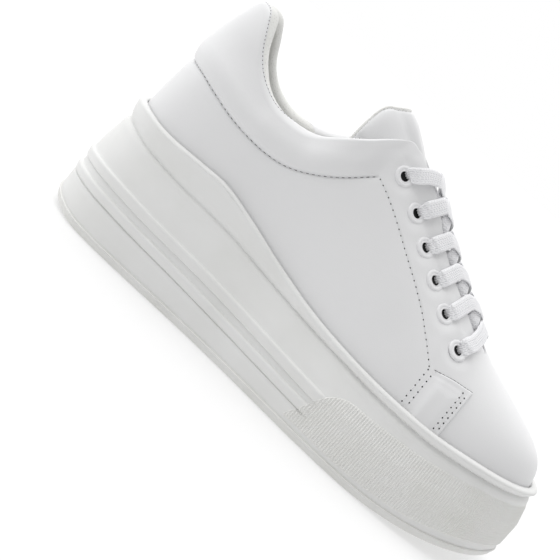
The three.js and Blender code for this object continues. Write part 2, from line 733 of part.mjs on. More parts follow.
// ---------------------------------------------------------------- lace
// A flat strip that runs over a list of points, each with the direction that faces out of the shoe.
function stripSolid(stops) {
  const points = [];
  const faces = [];
  stops.forEach(({ p, out }, i) => {
    const before = stops[Math.max(i - 1, 0)].p;
    const after = stops[Math.min(i + 1, stops.length - 1)].p;
    const along = after.clone().sub(before).normalize();
    const wide = new THREE.Vector3().crossVectors(out, along).normalize();
    const up = new THREE.Vector3().crossVectors(along, wide).normalize();
    for (const [w, h] of [
      [-0.5, 0],
      [-0.3, 1],
      [0.3, 1],
      [0.5, 0],
    ])
      points.push(p.clone().addScaledVector(wide, w * LACE_WIDTH).addScaledVector(up, h * LACE_THICK));
  });
  const corners = 4;
  const quad = (a, b, c, d) => faces.push([a, b, c], [a, c, d]);
  for (let i = 0; i < stops.length - 1; i++)
    for (let j = 0; j < corners; j++) {
      const k = (j + 1) % corners;
      const [a, b] = [i * corners + j, i * corners + k];
      quad(a, a + corners, b + corners, b);
    }
  quad(0, 1, 2, 3);
  const end = (stops.length - 1) * corners;
  quad(end + 3, end + 2, end + 1, end);
  return solidFrom(geometryOf(points, faces));
}

// A stop of the lace: over the closed last at a plan position, `level` above its surface.
function overLast(x, y, level) {
  const { side, turn, rise } = placeOnLast(x, y);
  return { p: offsetPoint(side, turn, rise, level), out: lastNormal(side, turn, rise) };
}

// Over the facings the lace clears the eyelets' flanges, which stay flat where the facing curves away.
const LACE_LIFT = GAP + FLANGE_THICK + GAP + 0.5;

// The bar across the two lowest eyelets.
function laceBar() {
  const row = EYELETS.length - 1;
  const [from, to] = [eyeletAt(LATERAL, row).origin, eyeletAt(MEDIAL, row).origin];
  const x = EYELETS[row].x + BAR_FORWARD;
  const stops = [0, 0.14, 0.28, 0.42, 0.58, 0.72, 0.86, 1].map((t) =>
    overLast(x, from.y + (to.y - from.y) * t, LACE_LIFT),
  );
  return stripSolid(stops);
}

// One run of a crossing: from an eyelet up its facing, over the tongue, and down towards the far facing's
// edge, where it would go under.
function laceRun(side, row) {
  const start = eyeletAt(side, row).origin;
  const endX = EYELETS[row + 1].x - TAIL_BACK;
  const end = { x: endX, y: middleY(endX) - side * (THROAT_HALF - TAIL_INSET) };
  const dip = [
    { t: 0, level: LACE_LIFT },
    { t: 0.16, level: LACE_LIFT },
    { t: 0.34, level: LACE_LIFT },
    { t: 0.52, level: 0.6 },
    { t: 0.7, level: 0 },
    { t: 0.86, level: -1.1 },
    { t: 1, level: -2.1 },
  ];
  return stripSolid(
    dip.map(({ t, level }) =>
      overLast(start.x + (end.x - start.x) * t, start.y + (end.y - start.y) * t, level),
    ),
  );
}

// One crossing: two runs that meet in an X over the throat, each landing on an eyelet of this row.
const laceCrossing = (row) => laceRun(LATERAL, row).add(laceRun(MEDIAL, row));

// ---------------------------------------------------------------- assembly
const finish = (color, roughness, metalness = 0) =>
  new THREE.MeshStandardMaterial({ color, roughness, metalness });
const LEATHER = finish(0xf2f2f3, 0.45);
const RUBBER = finish(0xeeeeec, 0.6);
const LINING = finish(0xd9d6cf, 0.9);
const ENAMEL = finish(0xf5f5f5, 0.3);
const COTTON = finish(0xf6f7f8, 0.85);

const shoe = new THREE.Group();
function add(name, geometry, material) {
  const mesh = new THREE.Mesh(geometry, material);
  mesh.name = name;
  shoe.add(mesh);
  return mesh;
}

add("outsole", outsoleGeometry(), RUBBER);
add("midsole", midsoleGeometry(), RUBBER);
add("insole", insoleGeometry(), LINING);
add("upper", upperGeometry(eyeletFrames.map(eyeletHole)), LEATHER);
add("tongue", tongueGeometry(), LEATHER);
for (const { name, matrix } of eyeletFrames) {
  const eyelet = add(name, eyeletGeometry(), ENAMEL);
  eyelet.applyMatrix4(matrix);
}
add("lace_bar", geometryFrom(laceBar()), COTTON);
for (let row = 0; row < EYELETS.length - 1; row++)
  add(`lace_cross_${row + 1}`, geometryFrom(laceCrossing(row)), COTTON);

// The origin goes to the middle of the bounding box's base.
const box = new THREE.Box3().setFromObject(shoe);
const middle = box.getCenter(new THREE.Vector3());
shoe.position.set(-middle.x, -middle.y, 0);

const part = new THREE.Group();
part.add(shoe);
export default part;
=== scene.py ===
"""A right platform sneaker: the finish of every piece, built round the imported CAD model.

Shapes are worked out in the construction frame, in millimetres: x = 0 at the sole's back, z = 0 on the
floor, -y the lateral (outer) side. `to_row` moves them into the row frame, in metres.
"""

import math

import bpy
import numpy as np
from mathutils import Matrix, Vector


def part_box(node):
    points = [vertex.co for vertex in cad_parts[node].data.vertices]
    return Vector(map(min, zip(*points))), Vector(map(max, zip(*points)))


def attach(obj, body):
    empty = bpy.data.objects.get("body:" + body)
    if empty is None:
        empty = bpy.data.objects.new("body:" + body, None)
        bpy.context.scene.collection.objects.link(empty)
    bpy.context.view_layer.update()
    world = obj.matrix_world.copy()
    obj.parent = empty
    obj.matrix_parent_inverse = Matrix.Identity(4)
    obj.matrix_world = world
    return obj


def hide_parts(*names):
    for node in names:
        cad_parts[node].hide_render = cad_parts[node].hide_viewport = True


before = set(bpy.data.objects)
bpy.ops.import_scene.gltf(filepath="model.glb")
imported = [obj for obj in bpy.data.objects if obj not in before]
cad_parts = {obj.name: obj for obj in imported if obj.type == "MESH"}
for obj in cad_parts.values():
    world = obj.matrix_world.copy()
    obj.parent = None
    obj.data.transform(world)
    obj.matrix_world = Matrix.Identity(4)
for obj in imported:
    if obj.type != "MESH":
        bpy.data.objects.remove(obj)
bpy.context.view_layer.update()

LATERAL, MEDIAL = -1, 1
SIDES = {"lateral": LATERAL, "medial": MEDIAL}

# ---- driving dimensions, most of them as in part.mjs
LAST_BACK, LAST_LENGTH = 7.5, 247
SPINE_BACK, SPINE_FRONT = 45, 228
RIDGE_SHARE = 0.6
WALL = 2.0
PAD_OUT, PAD_IN, PAD_RISE = 2.6, 6.0, 12.0
PAD_FRONT, PAD_END = 100, 116
LINING_FRONT, LINING_END = 74, 98
LINING_SEAM_START, LINING_SEAM_END, LINING_SINK = 17, {LATERAL: 76, MEDIAL: 60}, 0.32
THROAT_HALF, THROAT_START, THROAT_ROUND, THROAT_END = 9.5, 88, 8, 199
PINCH, PINCH_START, PINCH_RISE, PINCH_END, PINCH_FADE = 0.24, 2, 26, 78, 20
CORNER_BLEND, CORNER_FROM, CORNER_TO = 5, 0.34, 0.48
GAP = 0.3
OUTSOLE_THICK = 4
HEEL_RISE, HEEL_RISE_LENGTH = 4, 28
TOE_SPRING, TOE_SPRING_START, SOLE_LENGTH = 10.5, 190, 262
FLARE = 6.5
INSOLE_TOP, INSOLE_DISH = 3.95, 0.55
TONGUE_THICK, TONGUE_DROP, TONGUE_TUCK = 4, 3.2, 3
TONGUE_TOP, TONGUE_BASE, TONGUE_LENGTH = 101.5, 209, 107
EYELET_FLANGE, EYELET_CUT = 4.9, 3.3
LACE_WIDTH, LACE_THICK = 7.6, 1.3

# The last's lower edge from above: half widths from an axis that drifts towards the big toe.
OUTLINE = {
    "at":      (0, .02, .06, .12, .2, .3, .4, .5, .6, .68, .76, .84, .91, .96, .99, 1),
    "axis":    (0, 0, 0, 0, 0, 0, 0, .5, 1.5, 3, 4.5, 5.5, 6, 6.5, 6.5, 6.5),
    "lateral": (0, 16, 25, 29.5, 31, 31.5, 33, 37, 42, 45.5, 46.5, 44, 37, 26.5, 13.5, 0),
    "medial":  (0, 16, 25, 29.5, 30.5, 28.5, 27, 29, 34, 38.5, 40.5, 39.5, 34.5, 25.5, 13.5, 0),
}
RIDGE = {
    "x": (45, 68, 85, 100, 110, 120, 132, 143, 155, 168, 182, 194, 205, 215, 228),
    "z": (151, 151.5, 148, 139.8, 133, 125.8, 116.4, 108.6, 100.9, 93.4, 86, 80, 75.2, 71.3, 66.5),
}
SECTIONS = {
    "at":    (0, .12, .25, .4, .55, .7, .85, 1),
    "wall":  (.5, .5, .5, .5, .5, .5, .55, .7),
    "crown": (.65, .72, .8, .87, .78, .62, .62, .75),
    "bulge": (0, .5, 0, 0, .5, 1, 1, 0),
}
SOLE = {
    "x":        (0, 12, 30, 52, 66, 85, 105, 130, 155, 180, 205, 230, 262),
    "seat":     (45, 45, 45, 44.6, 43.8, 42, 39, 34.8, 32, 31, 31, 32.4, 35.5),
    "lowBead":  (22, 22.4, 22.1, 21.1, 20.5, 19.5, 18.5, 17.5, 16.7, 15.8, 15.5, 17, 20.5),
    "highBead": (30.4, 31.2, 30.9, 29.6, 29.1, 28.3, 27.2, 25.7, 24.5, 23.7, 23.5, 25, 28.5),
    "bandLow":  (52, 51.4, 49, 47.4, 47, 45.8, 43.3, 41, 39.6, 38.6, 38.5, 40.5, 42.4),
    "bandTop":  (62.3, 62.2, 60.8, 61.6, 61.7, 57.4, 51.9, 46.7, 44.1, 43, 43.2, 45, 46.6),
}
# The collar's edge. Its medial half stands up to 1.5 mm higher here than in the CAD.
COLLAR = {
    "x": (9, 14, 20, 28, 33, 37.6, 44, 50.5, 58, 67, 77, 84, 91, 100, 107, 113, 119, 125),
    "lateral": (127.6, 130.2, 131.4, 131.4, 124.5, 117, 110, 105.4, 102.4, 101.4, 102.7, 105.5, 110.4,
                117.8, 123.8, 127.6, 129.4, 150),
    "medial": (127.6, 130.2, 131.4, 130.6, 122.2, 112.6, 105.8, 102.2, 100.5, 101, 103.7, 107.2, 111.8,
               118.8, 124.2, 127.6, 129.4, 150),
}
COLLAR_SEAM = {
    "x": (0, 12, 23, 35, 47, 58, 69, 80, 91, 101, 113),
    "z": (91, 90.6, 89.8, 87.2, 84.6, 83.3, 83.1, 84.9, 90, 97, 108),
}
# Where the side panel goes under the lacing panel, from the seam's front end to the patch.
FACING_SEAM = {
    "x": (113, 123, 134, 145, 156, 167, 173, 178, 184, 189, 196, 210, 255),
    "z": (108, 103.4, 97.1, 90.3, 83.7, 76.3, 71.5, 67.5, 62.2, 57, 52, 50, 50),
}
SEAM_CORNER, SEAM_FOOT = 113, 184
EYELETS = {
    "x":      (121, 135.5, 148.4, 161, 174, 188.6),
    "spread": (19.4, 19.1, 20.6, 22.2, 24.6, 27.4),
}
ROWS = len(EYELETS["x"])


# ---- curves through tables
def through(keys, values, ends):
    """A smooth curve through a table's column, leaving its ends flat or straight on."""
    keys, values = np.array(keys, float), np.array(values, float)
    slopes = np.empty_like(values)
    slopes[1:-1] = (values[2:] - values[:-2]) / (keys[2:] - keys[:-2])
    straight = ends == "straight"
    slopes[0] = (values[1] - values[0]) / (keys[1] - keys[0]) if straight else 0
    slopes[-1] = (values[-1] - values[-2]) / (keys[-1] - keys[-2]) if straight else 0

    def curve(key):
        k = np.clip(key, keys[0], keys[-1])
        i = np.clip(np.searchsorted(keys, k, side="right") - 1, 0, len(keys) - 2)
        h = keys[i + 1] - keys[i]
        t = (k - keys[i]) / h
        t2, t3 = t * t, t * t * t
        return ((2 * t3 - 3 * t2 + 1) * values[i] + (t3 - 2 * t2 + t) * h * slopes[i]
                + (3 * t2 - 2 * t3) * values[i + 1] + (t3 - t2) * h * slopes[i + 1])

    return curve


def share_of(turn):
    return (1 - np.cos(np.pi * turn)) / 2


def turn_of(share):
    return np.arccos(np.clip(1 - 2 * np.asarray(share, float), -1, 1)) / np.pi


def by_turn(table, column, ends):
    return through(turn_of(table["at"]), table[column], ends)


def by_x(table, column="z"):
    return through(table["x"], table[column], "straight")


axis_of = by_turn(OUTLINE, "axis", "flat")
lateral_half, medial_half = (by_turn(OUTLINE, side, "straight") for side in SIDES)
wall_of, crown_of, bulge_of = (by_turn(SECTIONS, c, "flat") for c in ("wall", "crown", "bulge"))
ridge_at = by_x(RIDGE)
lateral_collar, medial_collar = by_x(COLLAR, "lateral"), by_x(COLLAR, "medial")
collar_seam_at, facing_seam_at = by_x(COLLAR_SEAM), by_x(FACING_SEAM)


def sole_bottom(x):
    heel = np.maximum(0, 1 - x / HEEL_RISE_LENGTH)
    toe = np.maximum(0, (x - TOE_SPRING_START) / (SOLE_LENGTH - TOE_SPRING_START))
    return HEEL_RISE * heel**2 + TOE_SPRING * toe**1.8


sole_line = {column: by_x(SOLE, column) for column in SOLE if column != "x"}
sole_line["bottom"] = sole_bottom


def smooth(v):
    c = np.clip(v, 0, 1)
    return c * c * (3 - 2 * c)


def unit(v):
    return v / np.maximum(np.linalg.norm(v, axis=-1, keepdims=True), 1e-12)


# ---- the last
def edge_point(side, turn):
    """The last's lower edge from above. Turns past either end carry on along the other side."""
    side, turn = np.broadcast_arrays(np.asarray(side, float), np.asarray(turn, float))
    s = np.where((turn < 0) | (turn > 1), -side, side)
    t = np.where(turn < 0, -turn, np.where(turn > 1, 2 - turn, turn))
    half = np.where(s < 0, lateral_half(t), medial_half(t))
    return np.stack([LAST_BACK + LAST_LENGTH * share_of(t), axis_of(t) + s * half], -1)


STEP, RIDGE_BLEND = 0.004, 0.985  # step of a difference, and the rise where the sides' normals merge


def edge_normal(side, turn):
    along = edge_point(side, turn + STEP) - edge_point(side, turn - STEP)
    flip = np.broadcast_to(np.asarray(side, float), np.shape(turn))[..., None]
    return unit(np.stack([-along[..., 1], along[..., 0]], -1) * flip)


def grown_edge(side, turn, out):
    return edge_point(side, turn) + edge_normal(side, turn) * np.asarray(out, float)[..., None]


def spine_at(turn):
    return SPINE_BACK + (SPINE_FRONT - SPINE_BACK) * share_of(turn)


def turn_at_spine(x):
    return turn_of((x - SPINE_BACK) / (SPINE_FRONT - SPINE_BACK))


def ridge_y(turn):
    return RIDGE_SHARE * axis_of(turn)


def middle_y(x):
    return ridge_y(turn_at_spine(x))


def ridge_slope(x):
    a, b = np.maximum(x - 1, SPINE_BACK), np.minimum(x + 1, SPINE_FRONT)
    return (ridge_at(b) - ridge_at(a)) / (b - a)


def last_point(side, turn, rise):
    """The closed last: rise runs from 0 at the lower edge to 1 on the ridge."""
    side, turn, rise = np.broadcast_arrays(*(np.asarray(v, float) for v in (side, turn, rise)))
    foot, normal = edge_point(side, turn), edge_normal(side, turn)
    spine, middle = spine_at(turn), ridge_y(turn)
    foot_z, top_z = sole_line["seat"](foot[..., 0]), ridge_at(spine)
    swell, crown = bulge_of(turn), crown_of(turn)
    reach = crown * (foot[..., 0] - spine)
    ends = (
        np.stack([foot[..., 0], foot[..., 1], foot_z], -1),
        np.stack([foot[..., 0] + normal[..., 0] * swell, foot[..., 1] + normal[..., 1] * swell,
                  foot_z + wall_of(turn) * (top_z - foot_z)], -1),
        np.stack([spine + reach, middle + crown * (foot[..., 1] - middle),
                  top_z + ridge_slope(spine) * reach], -1),
        np.stack([spine, middle, top_z], -1),
    )
    r = rise[..., None]
    weights = ((1 - r)**3, 3 * r * (1 - r)**2, 3 * r * r * (1 - r), r**3)
    point = sum(w * e for w, e in zip(weights, ends))
    lean = smooth((point[..., 2] - collar_seam_at(point[..., 0]) + PINCH_START) / PINCH_RISE)
    here = 1 - smooth((point[..., 0] - PINCH_END) / PINCH_FADE)
    point[..., 1] = middle + (point[..., 1] - middle) * (1 - PINCH * lean * here)
    return point


def last_normal(side, turn, rise):
    """Outward normal of the closed last. Both sides share one normal on the ridge."""
    side, turn, rise = np.broadcast_arrays(*(np.asarray(v, float) for v in (side, turn, rise)))
    safe = np.clip(rise, STEP, RIDGE_BLEND)
    along = last_point(side, turn + STEP, safe) - last_point(side, turn - STEP, safe)
    up = last_point(side, turn, safe + STEP) - last_point(side, turn, safe - STEP)
    normal = unit(np.cross(along, up) * -side[..., None])
    slope = ridge_slope(spine_at(turn))
    ridge = unit(np.stack([-slope, np.zeros_like(slope), np.ones_like(slope)], -1))
    share = np.clip((rise - RIDGE_BLEND) / (1 - RIDGE_BLEND), 0, 1)[..., None]
    return unit(normal * (1 - share) + ridge * share)


def place_on(side, first, second, axes, rise=0.8):
    """Turn and rise where two coordinates of the last take the given values, by Newton's steps."""
    first, second = np.broadcast_arrays(np.asarray(first, float), np.asarray(second, float))
    side = np.broadcast_to(np.asarray(side, float), first.shape)
    turn = turn_of(np.clip((first - 26) / 215, 0.02, 0.98))
    rise = np.full(first.shape, float(rise))
    aim = np.stack([first, second], -1)
    h = 1e-4
    for _ in range(30):
        now = last_point(side, turn, rise)[..., axes]
        by_turn_step = (last_point(side, turn + h, rise)[..., axes] - now) / h
        by_rise_step = (now - last_point(side, turn, rise - h)[..., axes]) / h
        miss = aim - now
        det = by_turn_step[..., 0] * by_rise_step[..., 1] - by_turn_step[..., 1] * by_rise_step[..., 0]
        det = np.where(np.abs(det) < 1e-6, 1e-6, det)
        d_turn = (miss[..., 0] * by_rise_step[..., 1] - miss[..., 1] * by_rise_step[..., 0]) / det
        d_rise = (by_turn_step[..., 0] * miss[..., 1] - by_turn_step[..., 1] * miss[..., 0]) / det
        turn = np.clip(turn + np.clip(d_turn, -0.06, 0.06), 0.001, 0.999)
        rise = np.clip(rise + np.clip(d_rise, -0.1, 0.1), 0.002, 1)
    return turn, rise


def place_from_above(x, y):
    """Side, turn and rise of the last under a plan position."""
    side = np.where(np.asarray(y) < middle_y(x), LATERAL, MEDIAL)
    return (side, *place_on(side, x, y, [0, 1]))


def place_from_side(side, x, z):
    return (side, *place_on(side, x, z, [0, 2], rise=0.3))


def rise_where(side, turn, test, steps=80):
    """The rise at which a test on the last first turns positive, or 1 where it never does."""
    rises = np.arange(1, steps + 1) / steps
    points = last_point(side[:, None], turn[:, None], rises[None, :])
    hit = test(points, turn[:, None]) > 0
    first = np.where(hit.any(1), hit.argmax(1), steps - 1)
    high = rises[first]
    low = high - 1 / steps
    for _ in range(24):
        mid = (low + high) / 2
        above = test(last_point(side, turn, mid), turn) > 0
        high = np.where(above, mid, high)
        low = np.where(above, low, mid)
    return np.where(hit.any(1), (low + high) / 2, 1)


# ---- the upper's opening and padding
def throat_half(x):
    rounding = np.clip((x - (THROAT_END - THROAT_ROUND)) / THROAT_ROUND, 0, 1)
    return THROAT_HALF * np.sqrt(1 - rounding**2)


def openness(p, turn):
    """Positive where the last is left open, at the collar or in the throat."""
    line = np.where(p[..., 1] < ridge_y(turn), lateral_collar(p[..., 0]), medial_collar(p[..., 0]))
    collar = p[..., 2] - line
    throat = throat_half(p[..., 0]) - np.abs(p[..., 1] - ridge_y(turn))
    blend = np.maximum(CORNER_BLEND - np.abs(collar - throat), 0) / CORNER_BLEND
    both = np.maximum(collar, throat) + blend**2 * CORNER_BLEND / 4
    return np.where(p[..., 0] < THROAT_START, collar, both)


def seam_height(x):
    return np.where(x < SEAM_CORNER, collar_seam_at(x), facing_seam_at(x))


def above_seam(p, n):
    """Distance over the surface from the seam line, positive above it."""
    x = p[..., 0]
    slope = (seam_height(x + 0.5) - seam_height(x - 0.5))
    flat = np.maximum(np.sqrt(np.clip(1 - n[..., 2]**2, 0, 1)), 0.35)
    return (p[..., 2] - seam_height(x)) / np.sqrt(1 + slope**2) / flat


def eyelet_places():
    """Every eyelet's centre and outward direction on the last, by side and row."""
    places = {}
    for side in (LATERAL, MEDIAL):
        for row, (x, spread) in enumerate(zip(EYELETS["x"], EYELETS["spread"])):
            s, turn, rise = place_from_above(np.array(x), middle_y(x) + side * spread)
            places[side, row] = last_point(s, turn, rise), last_normal(s, turn, rise)
    return places


EYELET_PLACES = eyelet_places()

# Soft folds in the leather, seen from the side: a ridge where depth is below 0, a trough above. They lie on
# both sides unless `sides` says otherwise.
FOLDS = (
    {"line": ((84, 99), (94, 104), (103, 112)), "width": 4.5, "depth": 0.35},
    {"line": ((62, 93), (76, 94.5), (88, 100)), "width": 5.0, "depth": -0.3},
    {"line": ((30, 103), (41, 97), (52, 94)), "width": 5.5, "depth": 0.25},
    {"line": ((120, 84), (138, 74), (160, 62)), "width": 9, "depth": 0.3, "sides": (LATERAL,)},
    {"line": ((70, 72), (95, 68), (118, 60)), "width": 10, "depth": 0.35},
    {"line": ((66, 64), (82, 63), (98, 57)), "width": 3.0, "depth": 0.6, "sides": (MEDIAL,)},
    {"line": ((205, 70), (211, 60), (214, 50)), "width": 7, "depth": 0.35},
)


def far_from_line(x, z, line):
    """Distance in side view to a broken line."""
    best = np.full(np.shape(x), 1e9)
    for (ax, az), (bx, bz) in zip(line, line[1:]):
        t = np.clip(((x - ax) * (bx - ax) + (z - az) * (bz - az)) / ((bx - ax)**2 + (bz - az)**2), 0, 1)
        best = np.minimum(best, np.hypot(x - ax - t * (bx - ax), z - az - t * (bz - az)))
    return best


SEAM_GROOVE, SEAM_GROOVE_WIDTH, FACING_GROOVE, FACING_STEP = 1.0, 0.55, 0.12, 0.35
SEAM_HOLLOW, SEAM_HOLLOW_WIDTH = 0.35, 1.6
EYELET_DIP, EYELET_DIP_REACH = 0.45, 6.2
EYELET_SWELL, EYELET_SWELL_AT, EYELET_SWELL_WIDTH = 0.22, 9.0, 2.4


def skin(side, p, n):
    """How far the leather's face stands out from the last: padding, seam groove, eyelet dips and folds."""
    x, z = p[..., 0], p[..., 2]
    s = above_seam(p, n)
    padded = smooth((PAD_END + 2 - x) / (PAD_END - PAD_FRONT))
    swell = (PAD_OUT + 0.5) * (1 - np.clip(1 - s / 11, 0, 1)**2.2) * padded
    behind = smooth((SEAM_CORNER + 2 - x) / 4)
    groove = (SEAM_GROOVE * behind + FACING_GROOVE * (1 - behind)) * np.exp(-(s / SEAM_GROOVE_WIDTH)**2)
    groove = groove + SEAM_HOLLOW * behind * np.exp(-((s + 1.2) / SEAM_HOLLOW_WIDTH)**2)
    panel = smooth((SEAM_FOOT + 3 - x) / 8) * (1 - behind)
    step = FACING_STEP * panel * smooth((s + 0.3) / 1.0)
    groove = groove * (1 - smooth((x - SEAM_FOOT) / 4))
    dips = np.zeros(np.shape(x))
    for centre, _ in EYELET_PLACES.values():
        far = np.linalg.norm(p - centre, axis=-1)
        dips -= EYELET_DIP * np.exp(-(far / EYELET_DIP_REACH)**2)
        dips += EYELET_SWELL * np.exp(-((far - EYELET_SWELL_AT) / EYELET_SWELL_WIDTH)**2)
    folds = np.zeros(np.shape(x))
    for fold in FOLDS:
        far = far_from_line(x, z, fold["line"])
        here = np.isin(np.broadcast_to(side, np.shape(x)), fold.get("sides", (LATERAL, MEDIAL)))
        folds -= np.where(here, fold["depth"] * np.exp(-(far / fold["width"])**2), 0)
    return swell - groove + step + dips + folds


FACING_LIFT = {
    "x":    (104, 113, 121, 129, 137, 146, 154, 162, 190, 199),
    "lift": (0, 0.9, 2.8, 4.4, 4.6, 3.4, 1.9, 1.3, 0.8, 0),
}
FACING_CURL = 10
facing_lift = through(FACING_LIFT["x"], FACING_LIFT["lift"], "flat")


def facing_curl(x, below):
    """How far the facing curls up from the last at a distance below its edge."""
    return facing_lift(x) * np.clip(1 - below / FACING_CURL, 0, 1)**1.4


def lining_depth(p):
    """How far the lining's face lies inside the last."""
    above = smooth((p[..., 2] - collar_seam_at(p[..., 0])) / PAD_RISE)
    thin = smooth((LINING_END - p[..., 0]) / (LINING_END - LINING_FRONT))
    return WALL + PAD_IN * above * thin


# ---- lines measured along their length
def lengths(path):
    """How far along a line each of its points lies."""
    return np.concatenate([[0], np.cumsum(np.linalg.norm(np.diff(path, axis=0), axis=1))])


def at_lengths(values, along, where):
    """Rows of three values, given at lengths along a line, read off at other lengths."""
    return np.stack([np.interp(where, along, values[:, i]) for i in range(3)], -1)


# ---- meshes
def construction_origin():
    """The row frame's origin in the construction frame, from where the insole lies."""
    turn = np.linspace(0, 1, 2001)
    inset = -(WALL + 0.4)
    edges = np.concatenate([grown_edge(side, turn, inset) for side in (-1, 1)])
    low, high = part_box("insole")
    found = [(edges[:, i].min() + edges[:, i].max()) / 2 - 500 * (low[i] + high[i]) for i in (0, 1)]
    return np.array([found[0], found[1], 0.0])


ORIGIN = construction_origin()


def to_row(points):
    return (np.asarray(points, float) - ORIGIN) / 1000


def put(name, data):
    thing = bpy.data.objects.new(name, data)
    bpy.context.scene.collection.objects.link(thing)
    return thing


def piece(name, points, faces, materials, slot=None, replaces=(), which=None, uv=None, flat=False):
    """One mesh object on the root body. `which` gives each face's material, `uv` each vertex's."""
    points, faces = np.asarray(points, float).reshape(-1, 3), np.asarray(faces, int)
    used, inverse = np.unique(faces, return_inverse=True)
    points, faces = points[used], inverse.reshape(faces.shape)
    mesh = bpy.data.meshes.new(name)
    mesh.from_pydata(to_row(points).tolist(), [], faces.tolist())
    for material in materials:
        mesh.materials.append(material)
    if which is not None:
        mesh.polygons.foreach_set("material_index", np.asarray(which, np.int32))
    mesh.polygons.foreach_set("use_smooth", np.full(len(faces), not flat))
    if uv is not None:
        layer = mesh.uv_layers.new(name="UVMap")
        corner = np.zeros(len(mesh.loops), np.int32)
        mesh.loops.foreach_get("vertex_index", corner)
        layer.data.foreach_set("uv", np.asarray(uv, np.float32).reshape(-1, 2)[used][corner].ravel())
    mesh.validate()
    mesh.update()
    thing = put(name, mesh)
    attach(thing, "root")
    if replaces:
        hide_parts(*replaces)
    return thing


def grid_faces(rows, cols, around=False, offset=0):
    """Quads of a grid of points, rows by columns, closed round its columns if `around`."""
    r, c = np.meshgrid(np.arange(rows - 1), np.arange(cols if around else cols - 1), indexing="ij")
    d = (c + 1) % cols
    quads = np.stack([r * cols + c, r * cols + d, (r + 1) * cols + d, (r + 1) * cols + c], -1)
    return quads.reshape(-1, 4) + offset


class Heap:
    """Meshes gathered into one."""

    def __init__(self):
        self.points, self.faces, self.uv, self.count = [], [], [], 0

    def add(self, points, faces, uv=None):
        points = np.asarray(points, float).reshape(-1, 3)
        self.points.append(points)
        self.faces.append(np.asarray(faces, int) + self.count)
        self.uv.append(np.zeros((len(points), 2)) if uv is None else np.asarray(uv).reshape(-1, 2))
        self.count += len(points)

    def piece(self, name, materials, **options):
        return piece(name, np.concatenate(self.points), np.concatenate(self.faces), materials,
                     uv=np.concatenate(self.uv), **options)


def round_stations(turns):
    """Stations right round the shoe: heel, lateral side, toe, medial side."""
    side = np.concatenate([np.full(len(turns), LATERAL), np.full(len(turns) - 2, MEDIAL)])
    return side.astype(float), np.concatenate([turns, turns[1:-1][::-1]])


# ---- materials
class Paint:
    """A procedural material and short ways to add nodes to it."""

    def __init__(self, name, roughness, **sockets):
        self.material = bpy.data.materials.new(name)
        self.material.use_nodes = True
        self.tree = self.material.node_tree
        self.shader = self.tree.nodes["Principled BSDF"]
        self.shader.inputs["Roughness"].default_value = roughness
        for socket, value in sockets.items():
            self.shader.inputs[socket.replace("_", " ")].default_value = value
        self.place = self.tree.nodes.new("ShaderNodeTexCoord").outputs["Object"]
        self.surface = None

    def node(self, kind, settings=None, **inputs):
        made = self.tree.nodes.new("ShaderNode" + kind)
        for key, value in (settings or {}).items():
            setattr(made, key, value)
        for key, value in inputs.items():
            socket = made.inputs[int(key[1:]) if key[0] == "_" else key.replace("_", " ")]
            if isinstance(value, bpy.types.NodeSocket):
                self.tree.links.new(value, socket)
            else:
                socket.default_value = value
        return made

    def noise(self, size, detail=3.0, roughness=0.55):
        """Smooth noise whose blobs are about `size` millimetres across."""
        return self.node("TexNoise", Vector=self.place, Scale=1000 / size, Detail=detail,
                         Roughness=roughness).outputs["Fac"]

    def cells(self, size, feature, **inputs):
        return self.node("TexVoronoi", {"feature": feature}, Vector=self.place, Scale=1000 / size,
                         **inputs).outputs["Distance"]

    def bands(self, direction, scale):
        return self.node("TexWave", {"wave_type": "BANDS", "bands_direction": direction},
                         Vector=self.place, Scale=scale, Distortion=0.4).outputs["Fac"]

    def ramp(self, value, low, high, to_low=0.0, to_high=1.0):
        return self.node("MapRange", _0=value, _1=low, _2=high, _3=to_low, _4=to_high).outputs[0]

    def math(self, operation, a, b=0.0):
        return self.node("Math", {"operation": operation}, _0=a, _1=b).outputs[0]

    def colour(self, share, one, two):
        mix = self.node("Mix", {"data_type": "RGBA"}, _0=share, _6=(*one, 1), _7=(*two, 1))
        self.tree.links.new(mix.outputs[2], self.shader.inputs["Base Color"])

    def rough(self, size, detail, low, high):
        """Roughness that wanders between two values, in blobs of about `size` millimetres."""
        wander = self.ramp(self.noise(size, detail), 0.3, 0.7, low, high)
        self.tree.links.new(wander, self.shader.inputs["Roughness"])

    def bump(self, height, strength, depth):
        """Adds relief of about `depth` millimetres."""
        inputs = {"Height": height, "Strength": strength, "Distance": depth / 1000}
        if self.surface is not None:
            inputs["Normal"] = self.surface
        self.surface = self.node("Bump", **inputs).outputs[0]
        self.tree.links.new(self.surface, self.shader.inputs["Normal"])

    def grain(self, size, detail, strength, depth):
        self.bump(self.noise(size, detail), strength, depth)


def leather():
    paint = Paint("leather_white", 0.42)
    cloud = paint.noise(60, 2)
    paint.colour(cloud, (0.785, 0.785, 0.79), (0.755, 0.757, 0.765))
    paint.rough(9, 4, 0.36, 0.50)
    grain = paint.ramp(paint.cells(0.85, "DISTANCE_TO_EDGE"), 0.0, 0.22)
    paint.bump(grain, 0.22, 0.05)
    paint.grain(0.35, 4, 0.25, 0.03)
    paint.grain(14, 3, 0.35, 0.35)
    return paint.material


def rubber(name, bright, dull):
    paint = Paint(name, 0.58)
    blotch = paint.noise(22, 4)
    paint.colour(paint.ramp(blotch, 0.35, 0.7), bright, dull)
    paint.rough(6, 3, 0.5, 0.66)
    paint.grain(0.6, 5, 0.3, 0.05)
    paint.grain(25, 2, 0.3, 0.3)
    return paint.material


